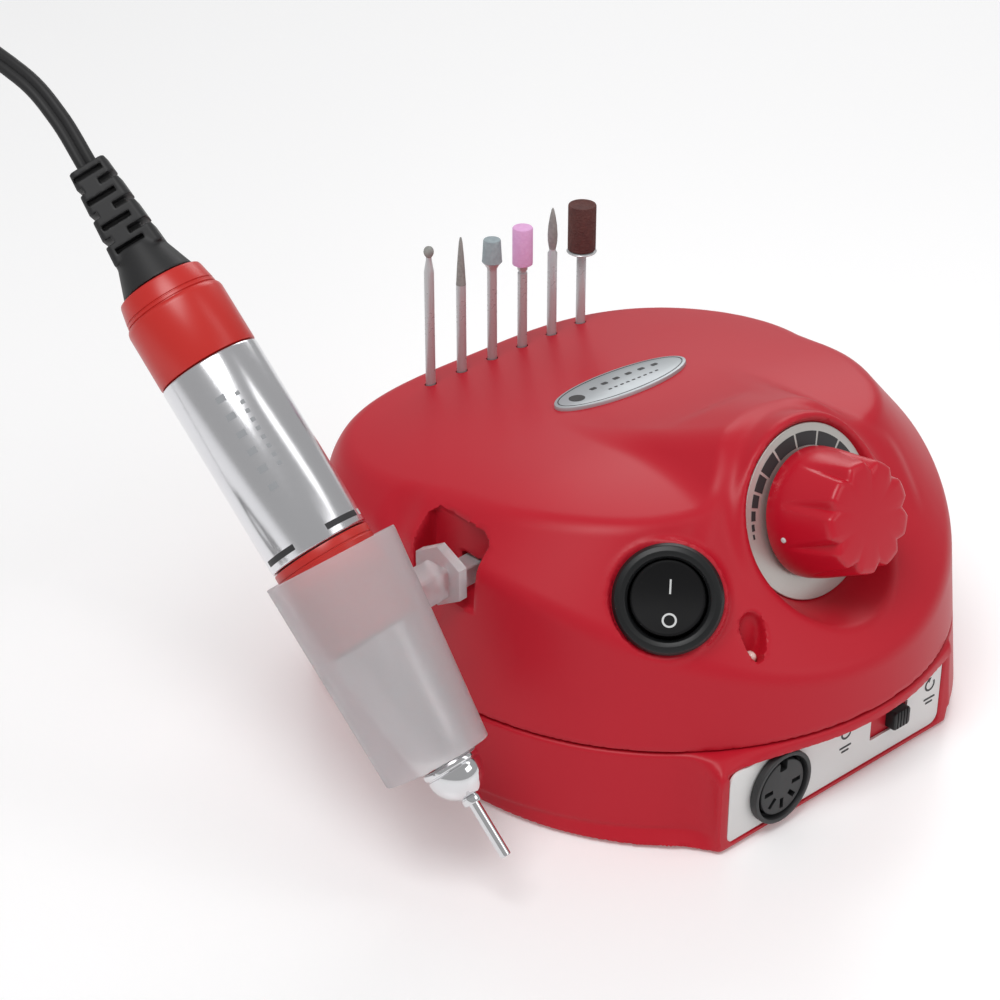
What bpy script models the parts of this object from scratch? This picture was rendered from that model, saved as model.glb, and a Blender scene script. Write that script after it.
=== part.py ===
"""Desktop electric nail drill: control unit, handpiece in its side cradle, six bits
and the handpiece lead with its five-pin plug.

Modelled in millimetres in the unit's own frame (X across the front, -Y the front,
Z up, z = 0 the underside of the base) and written out in metres, moved by SHIFT so
that the origin is under the middle of everything but the lead.
"""
import math

import bmesh
import bpy
import numpy as np
from mathutils import Matrix, Vector

for old in list(bpy.data.objects):
    bpy.data.objects.remove(old, do_unlink=True)

# ---------------------------------------------------------------- dimensions (mm)
SHIFT = Vector((21.852, -2.358, 1.5))
HALF_WIDTH, HALF_FRONT, HALF_BACK = 67.1, 67.8, 71.0   # plan of the case at the parting line
SQUARE_FRONT, SQUARE_BACK = 2.03, 2.93              # how square the two halves of the plan are
DRAFT = 0.10                                          # lean of the walls, mm per mm
PARTING = 21.0                                        # height of the parting line
WALL = 2.4                                            # moulded wall thickness
GAP = 0.3                                             # clearance between neighbouring pieces
SIDE_CREASE, CREASE_DROP, CREASE_POWER = 54.7, 22.0, 1.85
DIAL = (0.0, -42.3, 57.5)                             # middle of the speed dial
DIAL_TILT = 19.0                                      # dial face leans back, degrees
DIAL_R = 19.2
ROCKER = Vector((-42.8, -42.5, 53.2))
ROCKER_N = Vector((-0.62, -0.58, 0.53)).normalized()
PANEL_X0, PANEL_X1, PANEL_Y, PANEL_TOP = -44.3, 27.9, -60.7, 18.0
FRAME_Y = -61.7                                       # front of the frame round the label
BASE_Z = -0.9                                         # underside of the base; the feet stand 0.6 lower
DIN_AT = Vector((-26.8, PANEL_Y, 9.0))
SLOT = (3.5, 15.3, 6.0, 11.4)                        # direction switch slot: x0, x1, z0, z1
LED_AT = Vector((-29.8, -56.2, 40.6))
LED_N = Vector((-0.11, -0.76, 0.64)).normalized()
BIT_X0, BIT_PITCH, BIT_Y, BIT_FOOT = -22.7, 9.64, 56.9, 49.0
REAR = {"foot_jack": -26.0, "mode": -6.0, "fuse": 14.0, "inlet": 31.0}   # across the flat rear panel
REAR_Z, REAR_Y = 10.5, 65.4
SHANK_R = 1.175                                       # 3/32 inch shanks
PEG_TURN = 6.0                                        # cradle peg points this far forward of -X
PEG_AT = Vector((-67.5, -0.8, 50.6))                  # middle of the hexagon, on the wall
CUP_REACH = 26.3                                      # peg length to the cup's axis
CUP_TILT, HAND_TILT = 39.0, 45.0
HAND_AT = Vector((-93.4, -6.0, 51.5))                 # where the handpiece's axis meets the cup's
POSTS = ((-45.6, -43.6), (41.0, -43.6), (-53.1, 51.6), (43.0, 51.6))
FEET = ((-46.0, -31.5), (35.0, -33.5), (-48.0, 38.0), (43.0, 38.0))
CORD_D = 4.4
CORD_LENGTH = 1200.0
COIL_AT = Vector((-214.0, 64.0, 0.0))
COIL_R0, COIL_R1, COIL_H = 20.8, 31.2, 9.4
PLUG_AT = Vector((-246.5, 52.0, 6.6))

# ---------------------------------------------------------------- the case as a field
# Negative inside, about the distance in mm outside.


def smin(a, b, k):
    h = np.clip(0.5 + 0.5 * (b - a) / k, 0, 1)
    return b + (a - b) * h - k * h * (1 - h)


def smax(a, b, k):
    return -smin(-a, -b, k)


def plan(x, y, z):
    x = x + 1.6 + 0.051 * np.maximum(y, 0)
    r = np.sqrt(x * x + y * y) + 1e-6
    lean = DRAFT * (z - PARTING)
    a, bf, bb = HALF_WIDTH + 1.25 * np.clip(-x / 40, -1, 1) - lean, HALF_FRONT - lean, HALF_BACK - lean
    front = (np.abs(x / a) ** SQUARE_FRONT + np.abs(y / bf) ** SQUARE_FRONT) ** (1 / SQUARE_FRONT)
    back = (np.abs(x / a) ** SQUARE_BACK + np.abs(y / bb) ** SQUARE_BACK) ** (1 / SQUARE_BACK)
    w = np.clip(0.5 + y / 40.0, 0, 1)
    w = w * w * (3 - 2 * w)
    rho = front * (1 - w) + back * w
    return r - r / np.maximum(rho, r / 100)


def crown(x, y):
    yb, yf = np.maximum(y, 0), np.minimum(y, 0)
    return 66.8 + 0.014 * x - 0.12 * y - 0.0006 * yb * yb - 0.0035 * yf * yf - 2.5e-7 * x**4


def crease(x, y):
    r = np.sqrt(x * x + y * y) + 1e-6
    return SIDE_CREASE - CREASE_DROP * np.clip(-y / r, 0, 1) ** CREASE_POWER


def dial_space(x, y, z):
    t = math.radians(DIAL_TILT)
    dy, dz = y - DIAL[1], z - DIAL[2]
    return -dy * math.cos(t) + dz * math.sin(t), dy * math.sin(t) + dz * math.cos(t), x - DIAL[0]


def case(x, y, z):
    side = np.abs(x)
    wall = plan(x, y, z)
    around = np.degrees(np.arctan2(side, -y))
    slope = 1.0 + 0.32 * np.exp(-(((around - 50) / 24.0) ** 2)) + 0.87 * np.clip((around - 100) / 50, 0, 1)
    t = np.clip((around - 85) / 40, 0, 1)
    zc = crease(x, y)
    to_right = x / np.sqrt(x * x + y * y + 1e-6)
    drop = 2.9 + 5.8 * np.clip(to_right, 0, 1) * -1 + 0.25 * np.clip(-to_right, 0, 1)
    belt_top = zc - slope * plan(x, y, zc) - drop * t * t * (3 - 2 * t)
    belt = (z - belt_top) / np.sqrt(1 + slope * slope)
    body = smax((z - crown(x, y)) * 0.98, belt, 1.8)
    ahead, up, across = dial_space(x, y, z)
    rad = np.sqrt(across * across + up * up)
    back = (z - (66.0 + 0.30 * (3.0 - y))) * 0.958
    flank = (z - 67.3) * 0.79 + 0.62 * (side - 23.0) + 0.045 * (y + 21.6)
    hood = smax(smax(smax(back, flank, 3.0), belt - 0.3, 2.5), ahead - 1.2, 2.5)
    rim = smax(smax(rad - 21.6, ahead - 1.2, 2.2), -(ahead + 22), 4)
    body = smin(smin(body, hood, 2.0), rim, 5.0)
    body = smax(body, wall, 1.5)
    scoop = (np.sqrt(((side - 75) / 13.0) ** 2 + ((y - 19) / 7.5) ** 2 + ((z - 65) / 15.0) ** 2) - 1) * 8.0
    body = smax(body, -scoop, 2.5)
    # round seat for the rocker switch
    dx, dy, dz = x - ROCKER.x, y - ROCKER.y, z - ROCKER.z
    s = dx * ROCKER_N.x + dy * ROCKER_N.y + dz * ROCKER_N.z
    r = np.sqrt(np.maximum(dx * dx + dy * dy + dz * dz - s * s, 0))
    body = smin(body, smax(smax(r - 12.6, s, 0.8), -(s + 9), 1), 1.2)
    return smax(body, -smax(r - 12.2, -s, 0.8), 1.0)


def peg_axes():
    b = math.radians(PEG_TURN)
    return Vector((-math.cos(b), -math.sin(b), 0)), Vector((math.sin(b), -math.cos(b), 0))


def box_field(x, y, z, lo, hi):
    d = [np.maximum(l - c, c - h) for c, l, h in zip((x, y, z), lo, hi)]
    return np.maximum(np.maximum(d[0], d[1]), d[2])


def cavity(x, y, z):
    inside = case(x, y, z) + WALL + 0.1
    ahead, up, across = dial_space(x, y, z)
    boss = np.maximum(np.sqrt(across * across + up * up) - 26.5, -(ahead + 4.2))
    rack = box_field(x, y, z, (-29, 51, 45.5), (32, 64, 90))
    peg, lat = peg_axes()
    dx, dy, dz = x - PEG_AT.x, y - PEG_AT.y, z - PEG_AT.z
    pocket = box_field(dx * peg.x + dy * peg.y, dx * lat.x + dy * lat.y, dz, (-20, -11.8, -13.6), (9, 11.8, 90))
    return np.maximum(np.maximum(inside, -boss), np.maximum(-rack, -pocket))


# ---------------------------------------------------------------- mesh helpers
MATERIALS = {}
OBJECTS = {}


def material(name, colour, rough, metal=0.0, alpha=1.0):
    if name not in MATERIALS:
        m = bpy.data.materials.new(name)
        m.use_nodes = True
        b = m.node_tree.nodes["Principled BSDF"]
        b.inputs["Base Color"].default_value = (*colour, 1)
        b.inputs["Roughness"].default_value = rough
        b.inputs["Metallic"].default_value = metal
        b.inputs["Alpha"].default_value = alpha
        MATERIALS[name] = m
    return MATERIALS[name]


RED = material("red_case", (0.50, 0.02, 0.035), 0.45)
HAND_RED = material("red_handpiece", (0.58, 0.04, 0.025), 0.4)
BLACK = material("black_plastic", (0.012, 0.012, 0.013), 0.4)
RUBBER = material("black_rubber", (0.015, 0.015, 0.016), 0.6)
SILVER = material("silver_label", (0.62, 0.63, 0.64), 0.35, 0.6)
STEEL = material("steel", (0.62, 0.62, 0.62), 0.25, 1.0)
ALU = material("aluminium", (0.75, 0.75, 0.76), 0.3, 1.0)
FROST = material("frosted_plastic", (0.83, 0.78, 0.79), 0.5)
COPPER = material("copper", (0.7, 0.35, 0.18), 0.35, 1.0)
IRON = material("core_iron", (0.2, 0.2, 0.21), 0.5, 1.0)
BOARD = material("board_green", (0.03, 0.16, 0.07), 0.5)
STONE_GREY = material("stone_grey", (0.28, 0.33, 0.30), 0.9)
STONE_PINK = material("stone_pink", (0.75, 0.25, 0.55), 0.9)
GRIT = material("sanding_band", (0.16, 0.05, 0.04), 0.95)
LED = material("led_lens", (0.7, 0.7, 0.68), 0.2)


def frame_of(origin, axis, roll=None):
    """Matrix whose local +Z is axis, at origin (mm), moved into the world and to metres."""
    axis = Vector(axis).normalized()
    side = Vector(roll) if roll is not None else (Vector((1, 0, 0)) if abs(axis.x) < 0.9 else Vector((0, 1, 0)))
    y = axis.cross(side).normalized()
    x = y.cross(axis)
    m = Matrix((x, y, axis)).transposed().to_4x4()
    m.translation = (Vector(origin) + SHIFT) / 1000
    return m


HOME = frame_of((0, 0, 0), (0, 0, 1))


def finish(name, bm, where, mat, helper=False, sharp=35):
    bmesh.ops.recalc_face_normals(bm, faces=bm.faces)
    bmesh.ops.scale(bm, vec=(0.001,) * 3, verts=bm.verts)
    me = bpy.data.meshes.new(name)
    bm.to_mesh(me)
    bm.free()
    me.shade_smooth()
    me.set_sharp_from_angle(angle=math.radians(sharp))
    ob = bpy.data.objects.new(name, me)
    bpy.context.scene.collection.objects.link(ob)
    ob.matrix_world = where
    if helper:
        ob.hide_render = True
        ob.display_type = "WIRE"
    else:
        me.materials.append(mat)
    OBJECTS[name] = ob
    return ob


def lathe(name, profile, where, mat=None, ring=False, seg=24, helper=False):
    """Turned piece: profile is (radius, height) pairs; a ring's profile closes on itself."""
    bm = bmesh.new()
    rows = []
    for r, h in profile:
        if r < 1e-6:
            rows.append([bm.verts.new((0, 0, h))])
        else:
            rows.append([bm.verts.new((r * math.cos(2 * math.pi * i / seg), r * math.sin(2 * math.pi * i / seg), h)) for i in range(seg)])
    pairs = list(zip(rows, rows[1:])) + ([(rows[-1], rows[0])] if ring else [])
    for a, b in pairs:
        for i in range(seg):
            j = (i + 1) % seg
            if len(a) == 1 and len(b) == 1:
                continue
            if len(a) == 1:
                bm.faces.new((a[0], b[i], b[j]))
            elif len(b) == 1:
                bm.faces.new((a[i], b[0], a[j]))
            else:
                bm.faces.new((a[i], b[i], b[j], a[j]))
    return finish(name, bm, where, mat, helper)


def slab(name, outline, z0, z1, where, mat=None, helper=False):
    """Straight extrusion of an outline in local XY."""
    bm = bmesh.new()
    low = [bm.verts.new((x, y, z0)) for x, y in outline]
    high = [bm.verts.new((x, y, z1)) for x, y in outline]
    bm.faces.new(low)
    bm.faces.new(high)
    n = len(outline)
    for i in range(n):
        j = (i + 1) % n
        bm.faces.new((low[i], low[j], high[j], high[i]))
    return finish(name, bm, where, mat, helper)


def block(name, lo, hi, mat=None, where=None, helper=False):
    (x0, y0, z0), (x1, y1, z1) = lo, hi
    return slab(name, [(x0, y0), (x1, y0), (x1, y1), (x0, y1)], z0, z1, where or HOME, mat, helper)


def ellipse(a, b, n=32):
    return [(a * math.cos(2 * math.pi * i / n), b * math.sin(2 * math.pi * i / n)) for i in range(n)]


def rounded(w, h, r, n=3):
    pts = []
    for cx, cy, a0 in ((w / 2 - r, h / 2 - r, 0), (-w / 2 + r, h / 2 - r, 90), (-w / 2 + r, -h / 2 + r, 180), (w / 2 - r, -h / 2 + r, 270)):
        for i in range(n + 1):
            a = math.radians(a0 + 90 * i / n)
            pts.append((cx + r * math.cos(a), cy + r * math.sin(a)))
    return pts


def boolean(obj, other, how="DIFFERENCE"):
    other.hide_render = True
    other.display_type = "WIRE"
    m = obj.modifiers.new(other.name, "BOOLEAN")
    m.operation = how
    m.object = other
    m.solver = "EXACT"


def star(name, field, z0, rows, columns, mat=None, drop=0.0, helper=False, centre=(0.0, -4.0)):
    """Solid of a field above z0, its surface found along rays from one point.

    Each column of points starts at the foot of the wall, has one point on the
    wall's crease, and goes over the belt to the crown.
    """
    cx, cy = centre
    bm = bmesh.new()
    angles = [2 * math.pi * i / columns for i in range(columns)]
    grid = []
    for a in angles:
        ux, uy = math.sin(a), -math.cos(a)
        lo, hi = 5.0, 120.0
        for _ in range(30):
            mid = (lo + hi) / 2
            if plan(np.float64(cx + ux * mid), np.float64(cy + uy * mid), np.float64(PARTING)) > 0:
                hi = mid
            else:
                lo = mid
        edge = lo
        zc = float(crease(np.float64(cx + ux * edge), np.float64(cy + uy * edge)))
        targets = [(edge, z0), (edge, z0 + 0.55 * (zc - z0)), (edge - 2.5, zc - 0.8)]
        targets += [(edge - 9.0, zc + 8.0)]
        targets += [(edge * f, 66.0 + 3.0 * (1 - f)) for f in rows]
        grid.append([(ux, uy, math.atan2(h - z0, d)) for d, h in targets])
    grid = np.array(grid)
    ux, uy, el = grid[..., 0], grid[..., 1], grid[..., 2]
    dx, dy, dz = ux * np.cos(el), uy * np.cos(el), np.sin(el)
    lo, hi = np.full(el.shape, 2.0), np.full(el.shape, 130.0)
    # first crossing outward: march, then halve
    t = np.full(el.shape, 2.0)
    done = np.zeros(el.shape, bool)
    for _ in range(260):
        v = field(cx + dx * t, cy + dy * t, z0 + dz * t)
        hit = (v > 0) & ~done
        hi[hit], lo[hit] = t[hit], t[hit] - 0.5
        done |= hit
        t = np.where(done, t, t + 0.5)
    for _ in range(16):
        mid = (lo + hi) / 2
        v = field(cx + dx * mid, cy + dy * mid, z0 + dz * mid)
        hi, lo = np.where(v > 0, mid, hi), np.where(v > 0, lo, mid)
    px, py, pz = cx + dx * lo, cy + dy * lo, z0 + dz * lo
    rows_v = []
    if drop:
        rows_v.append([bm.verts.new((px[i, 0], py[i, 0], z0 - drop)) for i in range(columns)])
    for k in range(px.shape[1]):
        rows_v.append([bm.verts.new((px[i, k], py[i, k], pz[i, k])) for i in range(columns)])
    tz = 60.0
    for _ in range(200):
        if float(field(np.float64(cx), np.float64(cy), np.float64(tz))) > 0:
            break
        tz += 0.1
    apex = bm.verts.new((cx, cy, tz))
    foot = bm.verts.new((cx, cy, z0 - drop))
    for a, b in zip(rows_v, rows_v[1:]):
        for i in range(columns):
            j = (i + 1) % columns
            bm.faces.new((a[i], a[j], b[j], b[i]))
    for i in range(columns):
        j = (i + 1) % columns
        bm.faces.new((rows_v[-1][i], rows_v[-1][j], apex))
        bm.faces.new((rows_v[0][j], rows_v[0][i], foot))
    bmesh.ops.triangulate(bm, faces=[f for f in bm.faces if len(f.verts) > 3])
    return finish(name, bm, HOME, mat, helper, sharp=50)


def outline(z, inset, columns=72):
    pts = []
    for i in range(columns):
        a = 2 * math.pi * i / columns
        ux, uy = math.sin(a), -math.cos(a)
        lo, hi = 5.0, 120.0
        for _ in range(30):
            mid = (lo + hi) / 2
            if plan(np.float64(ux * mid), np.float64(uy * mid), np.float64(z)) > -inset:
                hi = mid
            else:
                lo = mid
        pts.append((ux * lo, uy * lo))
    return pts


def stack(name, layers, mat=None, helper=False):
    """Solid through a stack of outlines: (height, points)."""
    bm = bmesh.new()
    rows = [[bm.verts.new((x, y, z)) for x, y in pts] for z, pts in layers]
    n = len(rows[0])
    bm.faces.new(rows[0])
    bm.faces.new(rows[-1])
    for a, b in zip(rows, rows[1:]):
        for i in range(n):
            j = (i + 1) % n
            bm.faces.new((a[i], a[j], b[j], b[i]))
    return finish(name, bm, HOME, mat, helper)


def cylinder(name, r, z0, z1, where, mat=None, seg=20, helper=True):
    return lathe(name, [(0, z0), (r, z0), (r, z1), (0, z1)], where, mat, seg=seg, helper=helper)


# ---------------------------------------------------------------- upper shell
T = math.radians(DIAL_TILT)
DIAL_N = Vector((0, -math.cos(T), math.sin(T)))
dial_frame = frame_of(DIAL, DIAL_N, roll=(1, 0, 0))
rocker_side = Vector((0, 0, 1)).cross(ROCKER_N).normalized()          # horizontal, along the seat
rocker_frame = frame_of(ROCKER, ROCKER_N, roll=rocker_side)
led_frame = frame_of(LED_AT, LED_N)
peg, lat = peg_axes()
peg_frame = frame_of(PEG_AT, peg, roll=lat)      # local X = lateral (forward), Y = up or down, Z = outward

upper = star("upper_shell", case, PARTING + 0.15, (0.80, 0.66, 0.52, 0.38, 0.24, 0.12), 72, RED)
hollow = star("cut_hollow", cavity, PARTING + 0.15, (0.80, 0.62, 0.42, 0.2), 60, drop=3.0, helper=True)
boolean(upper, hollow)
for i, (x, y) in enumerate(POSTS):
    boolean(upper, cylinder(f"add_post_{i}", 4.8, PARTING + 0.6, 33.0, frame_of((x, y, 0), (0, 0, 1)), seg=12), "UNION")
    boolean(upper, cylinder(f"cut_post_{i}", 1.8, 15.0, 31.0, frame_of((x, y, 0), (0, 0, 1)), seg=12))
boolean(upper, lathe("cut_dish", [(0, -1.5), (DIAL_R + 0.4, -1.5), (DIAL_R + 0.4, 0.0), (DIAL_R + 0.4 + 0.42 * 34, 34.0), (0, 34.0)], dial_frame, seg=40, helper=True))
boolean(upper, cylinder("cut_shaft", 4.2, -20.0, 5.0, dial_frame, seg=16))
boolean(upper, cylinder("cut_seat", 12.0, -0.3, 14.0, rocker_frame, seg=32))
boolean(upper, cylinder("cut_rocker", 10.2, -26.0, 5.0, rocker_frame, seg=24))
boolean(upper, cylinder("cut_led", 1.7, -12.0, 6.0, led_frame, seg=12))
for i in range(6):
    boolean(upper, cylinder(f"cut_bit_{i}", SHANK_R + 0.35, BIT_FOOT - 0.4, 75.0, frame_of((BIT_X0 + BIT_PITCH * i, BIT_Y, 0), (0, 0, 1)), seg=10))
boolean(upper, block("cut_pocket", (-9.0, -9.0, -12.0), (9.0, 8.7, 16.0), where=peg_frame, helper=True))
boolean(upper, block("cut_socket", (-3.0, -5.6, -20.0), (3.0, 0.4, -10.0), where=peg_frame, helper=True))

# ---------------------------------------------------------------- base shell
top_of_base = PARTING - 0.15
base = stack("base_shell", [(BASE_Z, outline(0.0, 1.6)), (2.6, outline(2.6, 1.2)), (3.0, outline(3.0, 0.0)), (top_of_base, outline(top_of_base, 0.0))], RED)
boolean(base, block("add_panel", (PANEL_X0, FRAME_Y, BASE_Z), (PANEL_X1, -44.0, top_of_base - 0.6), helper=True), "UNION")
boolean(base, block("cut_front", (PANEL_X0 + 1.2, -90.0, -5.0), (PANEL_X1 + 30.0, FRAME_Y, PANEL_TOP), helper=True))
boolean(base, block("cut_recess", (PANEL_X0 + 2.5, -90.0, 0.3), (PANEL_X1 - 0.9, PANEL_Y, PANEL_TOP - 0.1), helper=True))
inner = stack("cut_base", [(BASE_Z + WALL, outline(WALL, WALL)), (top_of_base + 5, outline(top_of_base, WALL))], helper=True)
boolean(inner, block("keep_panel", (PANEL_X0 - 5, -95.0, -5.0), (PANEL_X1 + 5, PANEL_Y + WALL, 40.0), helper=True))
boolean(inner, block("keep_rear", (-39.0, REAR_Y - WALL, -5.0), (44.0, 95.0, 40.0), helper=True))
boolean(base, inner)
for i, (x, y) in enumerate(POSTS):
    up = frame_of((x, y, 0), (0, 0, 1))
    boolean(base, cylinder(f"add_tower_{i}", 4.8, -0.1, top_of_base - 0.4, up, seg=12), "UNION")
    boolean(base, cylinder(f"cut_tower_{i}", 1.9, -3.0, 30.0, up, seg=12))
    boolean(base, cylinder(f"cut_head_{i}", 3.2, -3.0, 2.0, up, seg=12))
for i, (x, y) in enumerate(FEET):
    boolean(base, cylinder(f"cut_foot_{i}", 5.5, -3.0, 0.3, frame_of((x, y, 0), (0, 0, 1)), seg=16))
din_frame = frame_of(DIN_AT, (0, -1, 0), roll=(1, 0, 0))
boolean(base, cylinder("cut_din", 7.8, -12.0, 5.0, din_frame))
boolean(base, cylinder("cut_din_rim", 8.85, 0.5, 6.0, din_frame, seg=28))
boolean(base, block("cut_slot", (SLOT[0], -70.0, SLOT[2]), (SLOT[1], -50.0, SLOT[3]), helper=True))
boolean(base, block("cut_rear", (-36.0, REAR_Y, 3.4), (41.0, 90.0, 17.8), helper=True))
for key, r in (("foot_jack", 4.9), ("fuse", 5.3), ("inlet", 4.6)):
    boolean(base, cylinder(f"cut_{key}", r, -14.0, 6.0, frame_of((REAR[key], REAR_Y, REAR_Z), (0, 1, 0)), seg=20))
boolean(base, block("cut_mode", (REAR["mode"] - 5.0, 55.0, REAR_Z - 2.2), (REAR["mode"] + 5.0, 80.0, REAR_Z + 2.2), helper=True))

# ---------------------------------------------------------------- front panel
label = slab("front_label_plate", [(PANEL_X0 + 2.8, 0.6), (PANEL_X1 - 1.2, 0.6), (PANEL_X1 - 1.2, PANEL_TOP - 0.4), (PANEL_X0 + 2.8, PANEL_TOP - 0.4)],
             0.3, 0.8, frame_of((0, PANEL_Y, 0), (0, -1, 0), roll=(1, 0, 0)), SILVER)
# local Y of that frame points down, so the outline is mirrored into place
label.matrix_world = Matrix.Translation((Vector((0, PANEL_Y, 0)) + SHIFT) / 1000) @ Matrix(((1, 0, 0, 0), (0, 0, -1, 0), (0, 1, 0, 0), (0, 0, 0, 1)))
boolean(label, cylinder("cut_label_din", 7.8, -3.0, 5.0, din_frame, seg=28))
boolean(label, block("cut_label_slot", (SLOT[0] - 0.3, -70.0, SLOT[2] - 0.3), (SLOT[1] + 0.3, -50.0, SLOT[3] + 0.3), helper=True))
lathe("din_socket", [(0, -10), (7.4, -10), (7.4, 1.1), (8.55, 1.1), (8.55, 2.8), (7.5, 2.8), (7.5, 1.1), (7.1, 0.7), (7.1, -4), (6.0, -4), (6.0, 0.7), (6.5, 1.1), (6.5, 2.2), (0, 2.2)], din_frame, BLACK, seg=28)
block("direction_switch_body", (SLOT[0] - 2.5, PANEL_Y + WALL + 0.6, SLOT[2] - 1.4), (SLOT[1] + 2.5, PANEL_Y + WALL + 7.0, SLOT[3] + 1.4), BLACK)
block("direction_slider", (9.2, PANEL_Y - 2.6, SLOT[2] + 0.35), (14.7, PANEL_Y + WALL + 0.3, SLOT[3] - 0.35), BLACK)

# ---------------------------------------------------------------- rocker switch
lathe("rocker_bezel", [(0, -17), (9.8, -17), (9.8, 0.1), (11.5, 0.1), (11.5, 1.2), (10.7, 2.2), (8.6, 2.2), (8.4, 1.6), (8.4, -7.5), (0, -7.5)], rocker_frame, BLACK, seg=32)
ROCKER_REST = math.radians(-7.0)
rocker_tilt = rocker_frame @ Matrix.Rotation(ROCKER_REST, 4, "X")
lathe("rocker_button", [(0, -4.2), (4.0, -4.2), (7.3, -1.5), (7.7, 0.6), (7.5, 1.5), (0, 1.5)], rocker_tilt, BLACK, seg=28)

# ---------------------------------------------------------------- speed dial
lathe("dial_plate", [(4.3, -1.2), (DIAL_R, -1.2), (DIAL_R, -0.1), (4.3, -0.1)], dial_frame, SILVER, ring=True, seg=40)
lathe("speed_knob", [(0, 17.6), (11.4, 17.6), (12.2, 16.8), (13.0, 9.5), (14.2, 2.4), (14.2, 0.8), (3.4, 0.8), (3.4, 14.0), (0, 14.0)], dial_frame, RED, seg=32)
lathe("potentiometer_body", [(0, -13.5), (8.4, -13.5), (8.4, -6.2), (3.8, -6.2), (3.8, 0.3), (3.35, 0.3), (3.35, -5.0), (0, -5.0)], dial_frame, IRON, seg=20)
cylinder("potentiometer_shaft", 3.0, -4.6, 13.6, dial_frame, STEEL, seg=16, helper=False)
lathe("power_led", [(0, -9), (1.4, -9), (1.4, -2.2), (0.9, -1.5), (0, -1.3)], led_frame, LED, seg=12)
badge_n = Vector((-0.014, 0.142, 1)).normalized()
slab("name_badge", ellipse(19.0, 7.0), 0.3, 1.0, frame_of((1.2, 17.4, 64.5), badge_n, roll=(1, -0.06, 0)), SILVER)

# ---------------------------------------------------------------- feet and screws
for i, (x, y) in enumerate(FEET):
    lathe(f"foot_{i + 1}", [(0, -1.5), (4.7, -1.5), (5.1, -1.1), (5.1, 0.0), (0, 0.0)], frame_of((x, y, 0), (0, 0, 1)), RUBBER, seg=16)
for i, (x, y) in enumerate(POSTS):
    lathe(f"case_screw_{i + 1}", [(0, -0.4), (2.8, -0.4), (2.8, 1.6), (1.4, 1.7), (1.4, 29.5), (0, 30.5)], frame_of((x, y, 0), (0, 0, 1)), STEEL, seg=10)

# ---------------------------------------------------------------- inside the case
core = block("transformer_core", (-23, 17, 3.2), (23, 37, 41.0), IRON)
for k, s in enumerate((-1, 1)):
    x0, x1 = sorted((s * 7.0, s * 15.5))
    boolean(core, block(f"cut_window_{k}", (x0, 10, 10.5), (x1, 44, 33.5), helper=True))
coil = block("transformer_coil", (-15.0, 11.5, 11.0), (15.0, 42.5, 33.0), COPPER)
boolean(coil, block("cut_leg", (-7.4, 16.6, 5.0), (7.4, 37.4, 40.0), helper=True))
block("control_board", (-31, -50, 6.0), (31, -6, 7.6), BOARD)
lathe("filter_capacitor", [(0, 7.9), (6.3, 7.9), (6.3, 30.0), (0, 30.0)], frame_of((20, -20, 0), (0, 0, 1)), BLACK, seg=20)
sink = block("heatsink", (-24, -24, 7.9), (-4, -12, 27.0), ALU)
for k in range(3):
    boolean(sink, block(f"cut_fin_{k}", (-22.0 + 5.6 * k, -26, 12.0), (-18.6 + 5.6 * k, -15.0, 30.0), helper=True))

# ---------------------------------------------------------------- rear of the base
at = {k: frame_of((REAR[k], REAR_Y, REAR_Z), (0, 1, 0)) for k in REAR}
lathe("foot_pedal_jack", [(0, -11), (4.5, -11), (4.5, 0.6), (5.6, 0.6), (5.6, 1.8), (3.3, 1.8), (3.3, -9), (0, -9)], at["foot_jack"], BLACK, seg=20)
lathe("fuse_holder", [(0, -13), (4.9, -13), (4.9, 0.6), (6.4, 0.6), (6.4, 2.4), (5.2, 4.0), (0, 4.0)], at["fuse"], BLACK, seg=20)
lathe("mains_inlet_gland", [(2.6, -8), (4.2, -8), (4.2, 0.6), (5.8, 0.6), (5.4, 3.6), (2.6, 3.6)], at["inlet"], RUBBER, ring=True, seg=20)
ry = REAR_Y
block("mode_switch_body", (REAR["mode"] - 8, ry - 12, REAR_Z - 4), (REAR["mode"] + 8, ry - 3.6, REAR_Z + 4), BLACK)
block("mode_slider", (REAR["mode"] - 4.6, ry - 3.3, REAR_Z - 1.8), (REAR["mode"] + 0.2, ry + 2.2, REAR_Z + 1.8), BLACK)

# ---------------------------------------------------------------- cradle
CUP_AT = HAND_AT


def leaning(deg):
    t = math.radians(deg)
    return Vector((0, 0, -1)) * math.cos(t) + lat * math.sin(t)


CUP_N, HAND_N = leaning(CUP_TILT), leaning(HAND_TILT)
cup_frame = frame_of(CUP_AT, CUP_N, roll=peg)
hand_frame = frame_of(HAND_AT, HAND_N, roll=peg)
cradle = lathe("handpiece_cradle", [(14.6, -15.0), (11.6, 32.0), (10.7, 32.0), (13.7, -15.0)], cup_frame, FROST, ring=True, seg=36)
stub = block("add_stub", (-3.3, -4.2, 0.0), (3.3, 3.0, CUP_REACH - 13.2), where=peg_frame, helper=True)
hexagon = [(7.3 * math.cos(math.radians(90 + 60 * k)), 7.3 * math.sin(math.radians(90 + 60 * k))) for k in range(6)]
plate = slab("add_hexagon", hexagon, 0.0, 2.4, peg_frame, helper=True)
tongue = block("add_tongue", (-2.4, -5.0, -16.5), (2.4, -0.2, 0.2), where=peg_frame, helper=True)
for piece in (stub, plate, tongue):
    boolean(cradle, piece, "UNION")
boolean(cradle, lathe("cut_cup", [(0, -30), (13.6, -14.9), (10.7, 31.0), (0, 31.0)], cup_frame, seg=36, helper=True))

# ---------------------------------------------------------------- bits
def bit_frame(i):
    return frame_of((BIT_X0 + BIT_PITCH * i, BIT_Y, BIT_FOOT), (0, 0, 1))


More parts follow.
